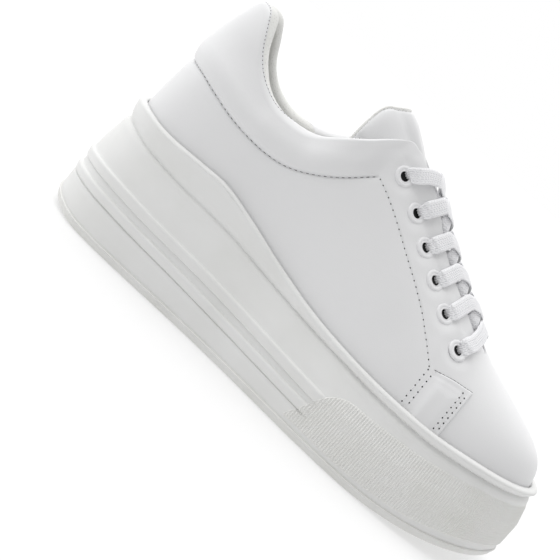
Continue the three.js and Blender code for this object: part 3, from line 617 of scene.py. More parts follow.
def knit():
    """A backed jersey with small scattered perforations."""
    paint = Paint("lining_knit", 0.9, Sheen_Weight=0.25, Sheen_Roughness=0.5)
    pit = paint.ramp(paint.cells(1.25, "F1", Randomness=0.5), 0.12, 0.34)
    fuzz = paint.noise(1.6, 3)
    # Base colour darkens in the perforations: painted shade in the holes; the fuzz is random tone.
    tone = paint.math("MULTIPLY", paint.ramp(pit, 0, 1, 0.55, 1.0), paint.ramp(fuzz, 0.3, 0.7, 0.85, 1.0))
    paint.colour(tone, (0.58, 0.58, 0.555), (0.84, 0.84, 0.815))
    paint.rough(3, 3, 0.84, 0.95)
    paint.bump(pit, 0.7, 0.15)
    paint.grain(0.25, 3, 0.6, 0.08)
    return paint.material


def thread(name, colour_one, colour_two):
    paint = Paint(name, 0.75, Sheen_Weight=0.2)
    paint.colour(paint.noise(0.8, 3), colour_one, colour_two)
    paint.rough(2, 2, 0.7, 0.85)
    paint.grain(0.18, 2, 0.6, 0.06)
    return paint.material


def cotton():
    paint = Paint("lace_cotton", 0.82, Sheen_Weight=0.3, Sheen_Roughness=0.45)
    weave = paint.tree.nodes.new("ShaderNodeTexCoord").outputs["UV"]
    # The UV's first value is how deep in the braid's hollows a point lies; the colour darkens there:
    # painted shade in the weave, plus random worn tone.
    painted_weave_shade = paint.node("SeparateXYZ", _0=weave).outputs[0]
    worn = paint.math("MULTIPLY", paint.noise(1.4, 4), 0.35)
    paint.colour(paint.math("ADD", painted_weave_shade, worn), (0.93, 0.93, 0.94), (0.76, 0.76, 0.79))
    paint.rough(2, 3, 0.76, 0.9)
    paint.grain(0.16, 3, 0.7, 0.07)
    return paint.material


def enamel():
    paint = Paint("eyelet_enamel", 0.4)
    paint.colour(paint.noise(3, 3), (0.79, 0.79, 0.80), (0.76, 0.76, 0.77))
    paint.rough(1.2, 4, 0.35, 0.48)
    paint.grain(0.8, 3, 0.2, 0.04)
    return paint.material


def painted_shade_material():
    """Near-black painted shade: it stands for the shadow inside the eyelets' barrels and in the needle
    holes.
    """
    paint = Paint("eyelet_bore_painted_shade", 0.8)
    paint.colour(paint.noise(0.6, 3), (0.012, 0.012, 0.013), (0.03, 0.03, 0.032))
    paint.rough(1, 2, 0.7, 0.9)
    paint.grain(0.4, 2, 0.4, 0.05)
    return paint.material


def insole_cloth():
    paint = Paint("insole_cloth", 0.88, Sheen_Weight=0.2)
    paint.colour(paint.noise(1.1, 4), (0.70, 0.685, 0.66), (0.60, 0.59, 0.57))
    paint.rough(3, 3, 0.82, 0.95)
    paint.bump(paint.math("MULTIPLY", paint.bands("X", 160.0), paint.bands("Y", 160.0)), 0.6, 0.15)
    return paint.material


LEATHER = leather()
RUBBER = rubber("sole_rubber", (0.785, 0.787, 0.78), (0.755, 0.757, 0.745))
BUMPER_RUBBER = rubber("bumper_rubber", (0.79, 0.79, 0.775), (0.76, 0.76, 0.735))
TREAD = rubber("tread_rubber", (0.78, 0.78, 0.765), (0.73, 0.73, 0.705))
KNIT = knit()
THREAD = thread("stitch_thread", (0.80, 0.80, 0.81), (0.70, 0.70, 0.72))
COTTON = cotton()
ENAMEL = enamel()
# Near-black painted shade for the eyelets' holes and the needle holes.
PAINTED_SHADE = painted_shade_material()
CLOTH = insole_cloth()

# ---- upper: layout shared by both faces
THROAT_TURN = float(turn_at_spine(THROAT_END))


def upper_turns(density):
    bands = ((0, CORNER_FROM, 60, 1), (CORNER_FROM, CORNER_TO, 74, 1),
             (CORNER_TO, THROAT_TURN, 80, 1.6), (THROAT_TURN, 1, 56, 1))
    turns = []
    for start, end, steps, crowd in bands:
        steps = max(6, int(steps * density))
        turns.append(end - (end - start) * (1 - np.arange(steps) / steps)**crowd)
    return np.append(np.concatenate(turns), 1.0)


class Upper:
    """Stations of the upper, and where on each the opening and the seam lie."""

    def __init__(self, density):
        self.side, self.turn = round_stations(upper_turns(density))
        self.closed = self.turn >= THROAT_TURN - 1e-9
        top = rise_where(self.side, self.turn, openness)
        self.top = np.where(self.closed, 1, top)
        self.shares = np.linspace(0, 1, 181)
        rises = self.top[:, None] * self.shares
        line = last_point(self.side[:, None], self.turn[:, None], rises)
        steps = np.linalg.norm(np.diff(line, axis=1), axis=-1)
        along = np.concatenate([np.zeros((len(steps), 1)), np.cumsum(steps, 1)], 1)
        self.length = along[:, -1]
        self.below = self.length[:, None] - along
        over = line[..., 2] - seam_height(line[..., 0])
        first = np.argmax(over > 0, axis=1)
        self.seam = self.below[np.arange(len(first)), first]
        top_point = line[:, -1]
        thick = lining_depth(top_point)
        out = PAD_OUT * smooth((PAD_END + 2 - top_point[:, 0]) / (PAD_END - PAD_FRONT))
        self.radius = np.where(self.closed, WALL / 2, (thick + out) / 2)
        self.crest_x = top_point[:, 0]
        self.top_x = np.where(self.closed, THROAT_END, self.crest_x)

    def at(self, below):
        """Points and normals of the last at distances below the opening, one row of them a station."""
        rise = np.stack([np.interp(-b, -k, self.top[i] * self.shares)
                         for i, (b, k) in enumerate(zip(below, self.below))])
        side, turn = self.side[:, None], self.turn[:, None]
        return last_point(side, turn, rise), last_normal(side, turn, rise)

    def face(self, below, roll):
        """Points of the upper: roll is 1 on the outside, -1 on the inside, between over the edge."""
        p, n = self.at(below)
        out, depth = skin(self.side[:, None], p, n), lining_depth(p)
        curl = facing_curl(self.top_x[:, None], below)
        middle, half = (out - depth) / 2 + curl, (out + depth) / 2
        return p + n * (middle + half * roll)[..., None]

    def core(self):
        """The middle line of the rolled edge."""
        return self.face(self.radius[:, None], 0)

    def crest(self, angle, shut_share, shut_roll):
        """Distances below the opening and rolls round its edge; a closed station has no edge to round."""
        shut = self.closed[:, None]
        below = self.radius[:, None] * np.where(shut, shut_share, 1 - np.cos(angle))
        return below, np.where(shut, shut_roll, np.sin(angle))


def blend_rows(start, end, steps, last=False):
    share = (np.arange(steps + (1 if last else 0)) / steps)[None, :]
    return start[:, None] * (1 - share) + end[:, None] * share


def lining_seam_angle(x):
    """How far round the rolled edge the leather goes, in degrees: 90 is its outside, 0 its crest."""
    return through((20, 50, 66, 80, 255), (50, 44, 24, -80, -80), "flat")(x)


def ridge_weld(upper, rows, faces):
    """Joins the two sides' points along the ridge where the upper is closed. Row 0 is the foot's."""
    n = len(upper.side)
    remap = np.arange(rows * n)
    half = (n + 2) // 2
    for k in range(half, n):
        if upper.closed[k]:
            remap[(rows - 1) * n + k] = (rows - 1) * n + (n - k)
    return remap[faces]


def upper_grid(upper, points):
    """One face's points, row by row from the foot, and its quads without those a weld made flat."""
    rows, n = points.shape[1], len(upper.side)
    faces = ridge_weld(upper, rows, grid_faces(rows, n, around=True))
    whole = np.array([len(set(face)) == 4 for face in faces.tolist()])
    return points.transpose(1, 0, 2).reshape(-1, 3), faces[whole]


def near_eyelets(points, reach):
    hit = np.zeros(len(points), bool)
    for centre, normal in EYELET_PLACES.values():
        gap = points - centre
        across = gap - (gap @ normal)[:, None] * normal
        hit |= (np.linalg.norm(across, axis=1) < reach) & (np.abs(gap @ normal) < 5)
    return hit


def lining_seam(upper):
    """Where the leather ends on the collar's rolled edge, on each side, and the way out there."""
    angle = np.radians(lining_seam_angle(upper.crest_x) + 7)[:, None]
    line = upper.face(upper.radius[:, None] * (1 - np.cos(angle)), np.sin(angle))[:, 0]
    axis = unit(np.gradient(line, axis=0))
    inward = unit(upper.core()[:, 0] - line)
    out = -unit(inward - axis * (inward * axis).sum(-1, keepdims=True))
    paths = []
    for side in (LATERAL, MEDIAL):
        x = upper.crest_x
        chosen = np.nonzero((upper.side == side) & (x > LINING_SEAM_START) & (x < LINING_SEAM_END[side]))[0]
        chosen = chosen[np.argsort(x[chosen])]
        paths.append((line[chosen], out[chosen]))
    return paths


def upper_leather():
    upper = Upper(1.0)
    seam = np.clip(upper.seam, upper.radius + 4, upper.length - 6)
    reach = 1.8
    flat = np.concatenate([blend_rows(upper.length, seam + reach, 34),
                           blend_rows(seam + reach, seam - reach, 14),
                           blend_rows(seam - reach, upper.radius, 38)], 1)
    share = np.linspace(0, 1, 17)[None, :]
    outside, last = np.pi / 2, np.radians(lining_seam_angle(upper.crest_x))
    crest, crest_roll = upper.crest(outside + (last - outside)[:, None] * share, 1 - share, 1.0)
    below = np.concatenate([flat, crest], 1)
    roll = np.concatenate([np.ones_like(flat), crest_roll], 1)
    points, faces = upper_grid(upper, upper.face(below, roll))
    faces = faces[~near_eyelets(points[faces].mean(1), EYELET_CUT)]
    piece("upper_leather", points, faces, [LEATHER], slot="leather", replaces=["upper"])
    return lining_seam(upper)


def upper_lining():
    upper = Upper(0.6)
    share = (np.arange(18) / 18)[None, :]
    inside, first = -np.pi / 2, np.radians(lining_seam_angle(upper.crest_x))
    crest, crest_roll = upper.crest(first[:, None] + (inside - first)[:, None] * share, share, -1.0)
    wall = blend_rows(upper.radius, upper.length, 46, last=True)
    below = np.concatenate([crest, wall], 1)[:, ::-1]
    roll = np.concatenate([crest_roll, -np.ones_like(wall)], 1)[:, ::-1]
    points = upper.face(below, roll)
    padded = ~upper.closed & (upper.side == LATERAL)
    sink = LINING_SINK * (smooth((LINING_END - upper.crest_x) / 10) * padded)[:, None]
    points = points + unit(upper.core() - points) * (sink * (below < upper.radius[:, None]))[..., None]
    points, faces = upper_grid(upper, points)
    return piece("upper_lining", points, faces[:, ::-1], [KNIT], slot="lining")


# ---- sole
SOLE_STEPS = 240
SOLE_SIDE, SOLE_TURN = round_stations(np.linspace(0, 1, SOLE_STEPS + 1))
BEAD_END, BEAD_FADE = 156, 7

# The midsole's wall from the foot up. A level is dz over one line, or at a share of the way between two,
# and stands `out` from the last; `bead` is what the two beads add, and fades before the ribs.
def on_line(line, *levels):
    return [(line, line, 0, dz, out, bead) for dz, out, bead in levels]


def between(low, high, *levels):
    return [(low, high, share, 0, out, bead) for share, out, bead in levels]


WALL_LEVELS = (
    on_line("bottom", (OUTSOLE_THICK - 0.7, FLARE - 1.2, 0), (OUTSOLE_THICK - 0.2, FLARE - 0.5, 0),
              (OUTSOLE_THICK + 0.2, FLARE - 0.12, 0))
    + between("bottom", "lowBead", (0.45, FLARE - 0.02, 0))
    + on_line("lowBead", (-6.0, FLARE, 0), (-5.3, FLARE, -0.08), (-5.0, FLARE, -0.6),
              (-4.75, FLARE, -0.65), (-4.5, FLARE, 0.05), (-4.0, FLARE, 0.25), (-2.6, FLARE, 0.5),
              (-1.4, FLARE, 0.7), (-0.9, FLARE, 0.66), (-0.5, FLARE, 0.48), (-0.2, FLARE, 0.15),
              (0.0, FLARE, -0.3), (0.25, FLARE, -0.65), (0.9, FLARE, -0.75))
    + on_line("highBead", (-5.8, FLARE - 0.1, -0.65), (-5.4, FLARE - 0.1, -0.8),
              (-5.1, FLARE - 0.1, -0.85), (-4.85, FLARE - 0.1, 0.0), (-4.3, FLARE - 0.12, 0.2),
              (-2.6, FLARE - 0.14, 0.42), (-1.4, FLARE - 0.16, 0.62), (-0.9, FLARE - 0.17, 0.58),
              (-0.5, FLARE - 0.18, 0.42), (-0.2, FLARE - 0.2, 0.1), (0.0, FLARE - 0.22, -0.25),
              (0.3, FLARE - 0.26, -0.5), (1.1, FLARE - 0.38, -0.55))
    + between("highBead", "bandLow", (0.14, FLARE - 0.7, -0.4), (0.3, FLARE - 1.3, -0.1),
              (0.5, FLARE - 2.1, 0), (0.7, FLARE - 2.9, 0))
    + on_line("bandLow", (-3.2, FLARE - 3.0, -0.25), (-2.2, FLARE - 3.25, -0.3),
              (-1.4, FLARE - 3.7, -0.15), (-0.7, FLARE - 4.4, 0.1), (0, 1.2, 0))
    + between("bandLow", "bandTop", (0.06, 1.5, 0), (0.15, 2.15, 0), (0.3, 2.75, 0), (0.5, 3.3, 0))
    + on_line("bandTop", (-1.75, 3.65, 0), (-1.25, 3.65, 0), (-0.8, 3.45, 0), (-0.4, 2.95, 0),
              (-0.12, 2.25, 0), (0, 1.2, 0))
)
BUMPER_TOP_LEVELS = 38


def wall_rows(levels, side, turn, fade):
    rows = []
    for start, end, share, dz, out, bead in levels:
        p = grown_edge(side, turn, out + bead * fade)
        x = p[..., 0]
        z = sole_line[start](x) * (1 - share) + sole_line[end](x) * share + dz
        rows.append(np.stack([x, p[..., 1], z], -1))
    return np.array(rows)


def finer(rows, times):
    """A smooth curve through each column of rows, with `times` points for each one given."""
    n = len(rows)
    out = []
    for i in range(n - 1):
        p0, p1, p2, p3 = rows[max(i - 1, 0)], rows[i], rows[i + 1], rows[min(i + 2, n - 1)]
        for k in range(times):
            t = k / times
            out.append(0.5 * (2 * p1 + (p2 - p0) * t + (2 * p0 - 5 * p1 + 4 * p2 - p3) * t * t
                              + (3 * p1 - p0 - 3 * p2 + p3) * t**3))
    out.append(rows[-1])
    return np.array(out)


def bead_fade(side, turn):
    return 1 - smooth((edge_point(side, turn)[..., 0] - BEAD_END) / BEAD_FADE)


def across(ring):
    """Each point's partner on the other side of a ring of round_stations."""
    return ring[(-np.arange(len(ring))) % len(ring)]


def floor_rows(ring, levels):
    """Rows that close a ring straight across towards its middle line."""
    middle = (ring + across(ring)) / 2
    return np.array([ring * (1 - t) + middle * t for t in levels])


def midsole():
    fade = bead_fade(SOLE_SIDE, SOLE_TURN)
    wall = finer(wall_rows(WALL_LEVELS, SOLE_SIDE, SOLE_TURN, fade), 2)
    cup = []
    foot = edge_point(SOLE_SIDE, SOLE_TURN)
    top = wall[-1][..., 2]

    def over_top(p, dz):
        return p[..., 2] - (top[:, None] if p.ndim == 3 else top) - dz

    for dz, out in ((-0.25, 0.75), (-0.9, 0.45), (-3.0, GAP)):
        rise = rise_where(SOLE_SIDE, SOLE_TURN, lambda p, _, dz=dz: over_top(p, dz))
        p = last_point(SOLE_SIDE, SOLE_TURN, rise)
        cup.append(p + last_normal(SOLE_SIDE, SOLE_TURN, rise) * out)
    for dz in (5, -GAP):
        p = grown_edge(SOLE_SIDE, SOLE_TURN, GAP)
        cup.append(np.stack([p[..., 0], p[..., 1], sole_line["seat"](foot[..., 0]) + dz], -1))
    rows = np.concatenate([floor_rows(wall[0], (1, .5, .1))[:-1], wall, np.array(cup),
                           floor_rows(cup[-1], (.1, .5, 1))])
    n = len(SOLE_TURN)
    return piece("midsole_wall", rows, grid_faces(len(rows), n, around=True), [RUBBER],
                 slot="midsole_rubber", replaces=["midsole"])


# The ribbed toe: heights of its lower and upper edge along the lateral side, and where it starts.
BUMPER = {
    "x":    (150, 153, 156, 160, 165, 170, 180, 200, 220, 240, 255, 262),
    "low":  (5.2, 5.4, 5.6, 5.6, 5.6, 5.4, 5.3, 6.0, 8.2, 12.6, 15.6, 16.6),
    "high": (6.2, 11.0, 17.0, 24.5, 28.8, 30.4, 31.0, 32.2, 34.6, 37.2, 38.2, 38.4),
}
RIB_PITCH, RIB_DEPTH, BUMPER_OUT, RIB_ROWS, RIB_STATIONS = 1.34, 0.55, 0.3, 72, 6


def toe_ribs():
    low_at, high_at = by_x(BUMPER, "low"), by_x(BUMPER, "high")
    fine = np.linspace(0.3, 1, 4001)
    side, turn = round_stations(np.concatenate([[0.0], fine]))
    side, turn = side[1:], turn[1:]
    edge = grown_edge(side, turn, FLARE)
    start = edge[:, 0] > BUMPER["x"][0]
    edge, side, turn = edge[start], side[start], turn[start]
    along = lengths(edge)
    where = np.linspace(0, along[-1], int(along[-1] / RIB_PITCH) * RIB_STATIONS + 1)
    index = np.interp(where, along, np.arange(len(along)))
    turn_here = np.interp(index, np.arange(len(turn)), np.where(side < 0, turn, 2 - turn))
    side = np.where(turn_here <= 1, LATERAL, MEDIAL).astype(float)
    turn = np.where(turn_here <= 1, turn_here, 2 - turn_here)
    fade = bead_fade(side, turn)
    wall = finer(wall_rows(WALL_LEVELS[:BUMPER_TOP_LEVELS], side, turn, fade), 2)
    x = grown_edge(side, turn, FLARE)[:, 0]
    low, high = low_at(x), high_at(x)
    share = np.linspace(0, 1, RIB_ROWS)[:, None]
    z = low + (high - low) * share
    points = np.empty((RIB_ROWS, len(turn), 3))
    for k in range(len(turn)):
        for axis in (0, 1):
            points[:, k, axis] = np.interp(z[:, k], wall[:, k, 2], wall[:, k, axis])
    points[..., 2] = z
    normal = edge_normal(side, turn)
    rib = 0.5 + 0.5 * np.cos(2 * np.pi * where / RIB_PITCH)
    tall = (z - low) / RIB_PITCH
    knots = 0.5 + 0.5 * np.cos(2 * np.pi * tall)
    margin = np.minimum(z - low, high - z)
    rim = smooth(margin / 0.8) * smooth(where / 1.5) * smooth((along[-1] - where) / 1.5)
    height = -0.25 + rim * (0.25 + BUMPER_OUT) + smooth(margin / 1.2) * RIB_DEPTH * (
        rib * (0.4 + 0.6 * knots) - 0.35)
    points[..., :2] += normal[None] * height[..., None]
    faces = grid_faces(RIB_ROWS, len(turn))
    return piece("toe_ribs", points, faces, [BUMPER_RUBBER], slot="midsole_rubber")


TREAD_RIM, TREAD_DEPTH, GROOVE = 9, 1.6, 2.2
HEEL_GROOVES = (22, 34, 46, 58, 70)
SOLE_GROOVES = (136, 148, 160, 172, 184, 196, 208, 220)
WAIST = (88, 118)
SLANT = 0.12


def tread_relief(x, y, inside):
    """How far the underside is cut away at a plan position."""
    cut = np.zeros(np.shape(x))
    for places, slant in ((HEEL_GROOVES, 0), (SOLE_GROOVES, SLANT)):
        for place in places:
            off = np.abs(x - place + slant * y)
            cut = np.maximum(cut, TREAD_DEPTH * (1 - smooth((off - GROOVE / 2 + 0.25) / 0.5)))
    cut = cut * inside
    waist = smooth((x - WAIST[0] + 0.4) / 0.8) * (1 - smooth((x - WAIST[1] - 0.4) / 0.8 + 1))
    return np.maximum(cut, 1.2 * waist)


def outsole():
    levels = on_line("bottom", (0, FLARE - 1.7, 0), (0.3, FLARE - 1.0, 0), (0.9, FLARE - 0.4, 0),
                     (1.6, FLARE - 0.08, 0), (2.8, FLARE + 0.12, 0), (OUTSOLE_THICK - 0.7, FLARE + 0.65, 0),
                     (OUTSOLE_THICK - 0.2, FLARE + 0.4, 0), (OUTSOLE_THICK, FLARE - 0.1, 0),
                     (OUTSOLE_THICK, FLARE - 1.0, 0))
    steps = 420
    side, turn = round_stations(np.linspace(0, 1, steps + 1))
    wall = finer(wall_rows(levels, side, turn, 0), 2)
    rim = wall[0]
    shares = np.concatenate([[0.0, 0.03], np.linspace(0.06, 1, 44)])
    under = floor_rows(rim, shares)[1:][::-1]
    x, y = under[..., 0], under[..., 1]
    inner_share = TREAD_RIM / np.maximum(np.abs(rim[:, 1] - across(rim)[:, 1]) / 2, TREAD_RIM)
    inside = smooth((shares[1:][::-1][:, None] - inner_share[None, :]) / 0.02 + 1)
    ends = smooth((x - LAST_BACK - 3) / 1) * smooth((LAST_BACK + LAST_LENGTH - 4 - x) / 1)
    under[..., 2] = sole_line["bottom"](x) + tread_relief(x, y, inside * ends)
    top = floor_rows(wall[-1], (0.1, 0.5, 1))
    rows = np.concatenate([under, wall, top])
    return piece("outsole_tread", rows, grid_faces(len(rows), len(turn), around=True), [TREAD],
                 slot="outsole_rubber", replaces=["outsole"])


def insole():
    steps = 160
    side, turn = round_stations(np.linspace(0, 1, steps + 1))
    edges = ((0.1, -WALL - 0.9), (0.5, -WALL - 0.5), (1.5, -WALL - 0.4), (3.0, -WALL - 0.45),
             (3.6, -WALL - 0.8), (INSOLE_TOP, -WALL - 1.5))
    rows = []
    for dz, out in edges:
        p = grown_edge(side, turn, out)
        rows.append(np.stack([p[:, 0], p[:, 1], sole_line["seat"](p[:, 0]) + dz], -1))
    rows = np.array(rows)
    top = floor_rows(rows[-1], np.linspace(0, 1, 26))[1:]
    cup = np.linspace(0, 1, 26)[1:]
    dish = INSOLE_DISH * np.sin(np.pi * np.minimum(cup, .5))[:, None]
    top[..., 2] = sole_line["seat"](top[..., 0]) + INSOLE_TOP - dish
    bottom = floor_rows(rows[0], (0.1, 0.5, 1))[::-1]
    rows = np.concatenate([bottom, rows, top])
    made = piece("insole_pad", rows, grid_faces(len(rows), len(turn), around=True), [CLOTH],
                 slot="lining", replaces=["insole"])
    return made


# ---- tongue
# x of the tongue's free edge, from its middle out to its sides, and its half width down its length.
tongue_edge = through((0, 0.2, 0.4, 0.55, 0.7, 0.85, 0.95, 1),
                      (TONGUE_TOP, 100.9, 98.2, 95, 91.3, 88.7, 87.8, 87.6), "flat")
tongue_half_width = through((0, 0.15, 0.6, 1), (25, 26.5, 24, 19), "straight")
TONGUE_SEAM, TONGUE_PUFF, TONGUE_GROOVE, TONGUE_CROWN = 1.9, 1.3, 0.55, 2.3


def tongue():
    """A padded leaf: leather in front, knit behind and round its edge."""
    inset = TONGUE_SEAM
    edge = np.array([0, 0.12, 0.35, 0.7, 1.1, 1.5, inset, 2.2, 2.6, 3.2, 4.0, 5.0, 6.4])
    half = np.concatenate([edge / 26, np.linspace(8 / 26, 1, 19)])
    across = np.concatenate([half - 1, (1 - half)[::-1][1:]])
    down = np.concatenate([edge, np.linspace(8, TONGUE_LENGTH, 64)])
    share = down / TONGUE_LENGTH
    w, s = np.meshgrid(across, share)
    start = tongue_edge(np.abs(w))
    x = start + (TONGUE_BASE - start) * s
    wide = tongue_half_width(s)
    y = middle_y(x) + w * wide
    side, turn, rise = place_from_above(x, y)
    p, n = last_point(side, turn, rise), last_normal(side, turn, rise)
    tuck = TONGUE_TUCK * w**2 * (1 - smooth(s / 0.5))
    from_side, from_end = (1 - np.abs(w)) * wide, s * TONGUE_LENGTH
    rim = np.minimum(from_side, from_end)
    round_off = 1 - np.clip(1 - rim / 1.6, 0, 1)**2
    half_thick = TONGUE_THICK / 2 * np.sqrt(np.clip(round_off, 0.0009, 1))
    free = 1 - smooth((s - 0.12) / 0.2)
    puff = free * TONGUE_PUFF * (1 - np.clip(1 - (rim - inset) / 7, 0, 1)**2) * (rim > inset)
    seam = free * TONGUE_GROOVE * np.exp(-((rim - inset) / 0.45)**2)
    crown = TONGUE_CROWN * (1 - smooth((np.abs(y - middle_y(x)) - 4) / 7))
    middle = -TONGUE_DROP - tuck - TONGUE_THICK / 2 + crown
    front = p + n * (middle + half_thick + puff - seam)[..., None]
    back = p + n * (middle - half_thick)[..., None]
    rows, cols = w.shape
    faces_front = grid_faces(rows, cols)[:, ::-1]
    faces_back = grid_faces(rows, cols, offset=rows * cols)
    at = np.arange(rows * cols).reshape(rows, cols)
    rim_line = np.concatenate([at[::-1, 0], at[0, 1:], at[1:, -1]])
    strip = np.stack([rim_line[:-1], rim_line[1:], rim_line[1:] + rows * cols,
                      rim_line[:-1] + rows * cols], -1)
    base = np.stack([at[-1, :-1], at[-1, 1:], at[-1, 1:] + rows * cols, at[-1, :-1] + rows * cols], -1)
    faces = np.concatenate([faces_front, faces_back, strip, base[:, ::-1]])
    border = rim.ravel()[faces_front].mean(1) < inset
    which = np.concatenate([border.astype(int), np.ones(len(faces_back) + len(strip) + len(base), int)])
    points = np.concatenate([front.reshape(-1, 3), back.reshape(-1, 3)])
    made = piece("tongue_pad", points, faces, [LEATHER, KNIT], slot="leather", replaces=["tongue"],
                 which=which)
    at_inset = int(np.argmin(np.abs(edge - inset)))
    free_rows = [i for i in range(at_inset, rows) if share[i] < 0.3]
    places = [(i, at_inset) for i in free_rows[::-1]]
    places += [(at_inset, j) for j in range(at_inset + 1, cols - at_inset)]
    places += [(i, cols - 1 - at_inset) for i in free_rows[1:]]
    i, j = np.array(places).T
    return front[i, j], n[i, j]


# ---- stitches
TANGENT_REACH = 0.3


def resample(path, normals, pitch, start):
    """Points at even steps along a line, with its direction and the outward normal at each."""
    path, normals = np.asarray(path, float), np.asarray(normals, float)
    along = lengths(path)
    where = np.arange(start, along[-1] - TANGENT_REACH, pitch)
    ahead, behind = (at_lengths(path, along, where + reach) for reach in (TANGENT_REACH, -TANGENT_REACH))
    return at_lengths(path, along, where), unit(ahead - behind), unit(at_lengths(normals, along, where))


def blob(centre, along, out, length, width, height):
    """A low rounded bump, as of a stitch or a needle hole, lying on the surface."""
    rings, sides = 5, 10
    across = unit(np.cross(out, along))
    up = unit(np.cross(along, across))
    points = []
    for i in range(rings):
        a = (i / (rings - 1)) * np.pi / 2
        for k in range(sides):
            b = 2 * np.pi * k / sides
            points.append(centre + along * (length / 2 * np.cos(a) * np.cos(b))
                          + across * (width / 2 * np.cos(a) * np.sin(b)) + up * (height * np.sin(a)))
    points = np.array(points[:-sides] + [centre + up * height])
    faces = grid_faces(rings - 1, sides, around=True)
    top = (rings - 2) * sides
    caps = [[top + k, top + (k + 1) % sides, len(points) - 1, len(points) - 1] for k in range(sides)]
    return points, faces, np.array(caps)[:, :3]


class Stitching:
    """Needle holes as near-black blobs of painted shade, and pale thread, gathered along lines."""

    def __init__(self):
        self.holes, self.threads = [], []

    def run(self, path, normals, pitch, hole, thread_size, sink=0.0, start=0.0):
        points, along, outs = resample(path, normals, pitch, start)
        for p, a, o in zip(points, along, outs):
            self.holes.append((p - o * sink, a, o, *hole))
        for p, q, a, o in zip(points, points[1:], along, outs):
            if thread_size:
                self.threads.append(((p + q) / 2 - o * sink, unit(q - p), o, *thread_size))

    @staticmethod
    def heap(blobs):
        points, faces, count = [], [], 0
        for one in blobs:
            p, quads, caps = blob(*one)
            points.append(p)
            faces += (quads + count).tolist() + (caps + count).tolist()
            count += len(p)
        return np.concatenate(points), faces

    def build(self, name, blobs, material):
        points, faces = self.heap(blobs)
        mesh = bpy.data.meshes.new(name)
        mesh.from_pydata(to_row(points).tolist(), [], faces)
        mesh.materials.append(material)
        mesh.polygons.foreach_set("use_smooth", np.full(len(mesh.polygons), True))
        mesh.update()
        thing = put(name, mesh)
        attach(thing, "root")


def on_leather(side, x, z, lift=0.0):
    """Points of the leather's face and their normals, from their places in side view."""
    s, turn, rise = place_from_side(np.full(np.shape(x), side), x, z)
    p, n = last_point(s, turn, rise), last_normal(s, turn, rise)
    return p + n * (skin(s, p, n) + lift)[..., None], n


def line_on_leather(side, stops, lift=0.0, steps=60):
    stops = np.array(stops, float)
    t = np.linspace(0, len(stops) - 1, steps)
    x, z = (np.interp(t, np.arange(len(stops)), stops[:, i]) for i in (0, 1))
    return on_leather(side, x, z, lift)


def seam_line(side, start, end, steps):
    x = np.linspace(start, end, steps)
    return on_leather(side, x, seam_height(x))


# ---- patch at the foot of the facing
PATCH = {
    "left": ((187.2, 41.5), (186.6, 52), (186.2, 62.4)),
    "right": ((206.6, 41.5), (206.2, 52), (205.8, 65.0)),
    "top": ((187.4, 62.6), (196, 64.2), (205.8, 65.0)),
}
PATCH_WIDTH, PATCH_TALL, PATCH_THICK, PATCH_PITCH, PATCH_TOP_PITCH = 19.5, 22.0, 0.95, 2.95, 1.9
# Its columns of stitches: x and z at the foot and at the top, lift, and how far up the first one is.
PATCH_STITCHES = (
    ((185.2, 43.5), (184.4, 62.4), 0.0, 0.8),
    ((188.1, 43.5), (187.1, 61.4), 0.1, 0.8 + PATCH_PITCH / 2),
    ((202.7, 43.5), (202.1, 62.8), PATCH_THICK + 0.1, 0.8),
    ((204.6, 43.5), (204.0, 63.4), PATCH_THICK, 0.8 + PATCH_PITCH / 2),
)
# The last of these sizes a near-black line along the patch's top edge: painted shadow.
PATCH_HOLE, PATCH_THREAD, PATCH_TOP_SHADE_LINE = (0.8, 0.7, 0.1), (1.5, 0.45, 0.16), (1.9, 0.3, 0.1)


def patch(side, label, stitching):
    def edge(name, t):
        stops = np.array(PATCH[name])
        return np.stack([np.interp(t * (len(stops) - 1), np.arange(len(stops)), stops[:, i])
                         for i in (0, 1)], -1)

    u = np.concatenate([[0, .01, .025, .045, .07], np.linspace(.1, .9, 34), [.93, .955, .975, .99, 1]])
    v = np.concatenate([np.linspace(0, .9, 40), [.93, .955, .975, .99, 1]])
    left, right = edge("left", v), edge("right", v)
    flat = left[:, None] * (1 - u)[None, :, None] + right[:, None] * u[None, :, None]
    rise_top = edge("top", u)[:, 1] - (62.4 * (1 - u) + 65.0 * u)
    flat[..., 1] += rise_top[None, :] * v[:, None]**3
    p, n = on_leather(side, flat[..., 0], flat[..., 1])
    from_left, from_right = u[None, :] * PATCH_WIDTH, (1 - u)[None, :] * PATCH_WIDTH
    from_top = ((1 - v) * PATCH_TALL)[:, None]
    rim = np.minimum(np.minimum(from_left, from_right), from_top)
    rise = PATCH_THICK * smooth((from_left - 0.5) / 7) + 0.06
    height = (rise + 0.3) * np.sqrt(1 - np.clip(1 - rim / 0.7, 0, 1)**2) - 0.3
    pillow = 0.45 * smooth((rim - 3.4) / 3.5)
    inner = np.minimum(from_right - 2.2, from_top - 1.9)
    groove = 0.22 * np.exp(-(inner / 0.7)**2)
    p = p + n * (height + pillow - groove)[..., None]
    faces = grid_faces(len(v), len(u))
    if side == MEDIAL:
        faces = faces[:, ::-1]
    piece(f"patch_{label}", p, faces, [LEATHER], slot="leather")
    for foot, top, lift, start in PATCH_STITCHES:
        line, normals = line_on_leather(side, (foot, top), lift)
        stitching.run(line, normals, PATCH_PITCH, PATCH_HOLE, PATCH_THREAD, start=start)
    # A near-black line of blobs along the patch's top edge: a painted shadow at the edge's step.
    line, normals = line_on_leather(side, PATCH["top"], PATCH_THICK * 0.35)
    stitching.run(line - normals * 0.1, normals, PATCH_TOP_PITCH, PATCH_TOP_SHADE_LINE, None)


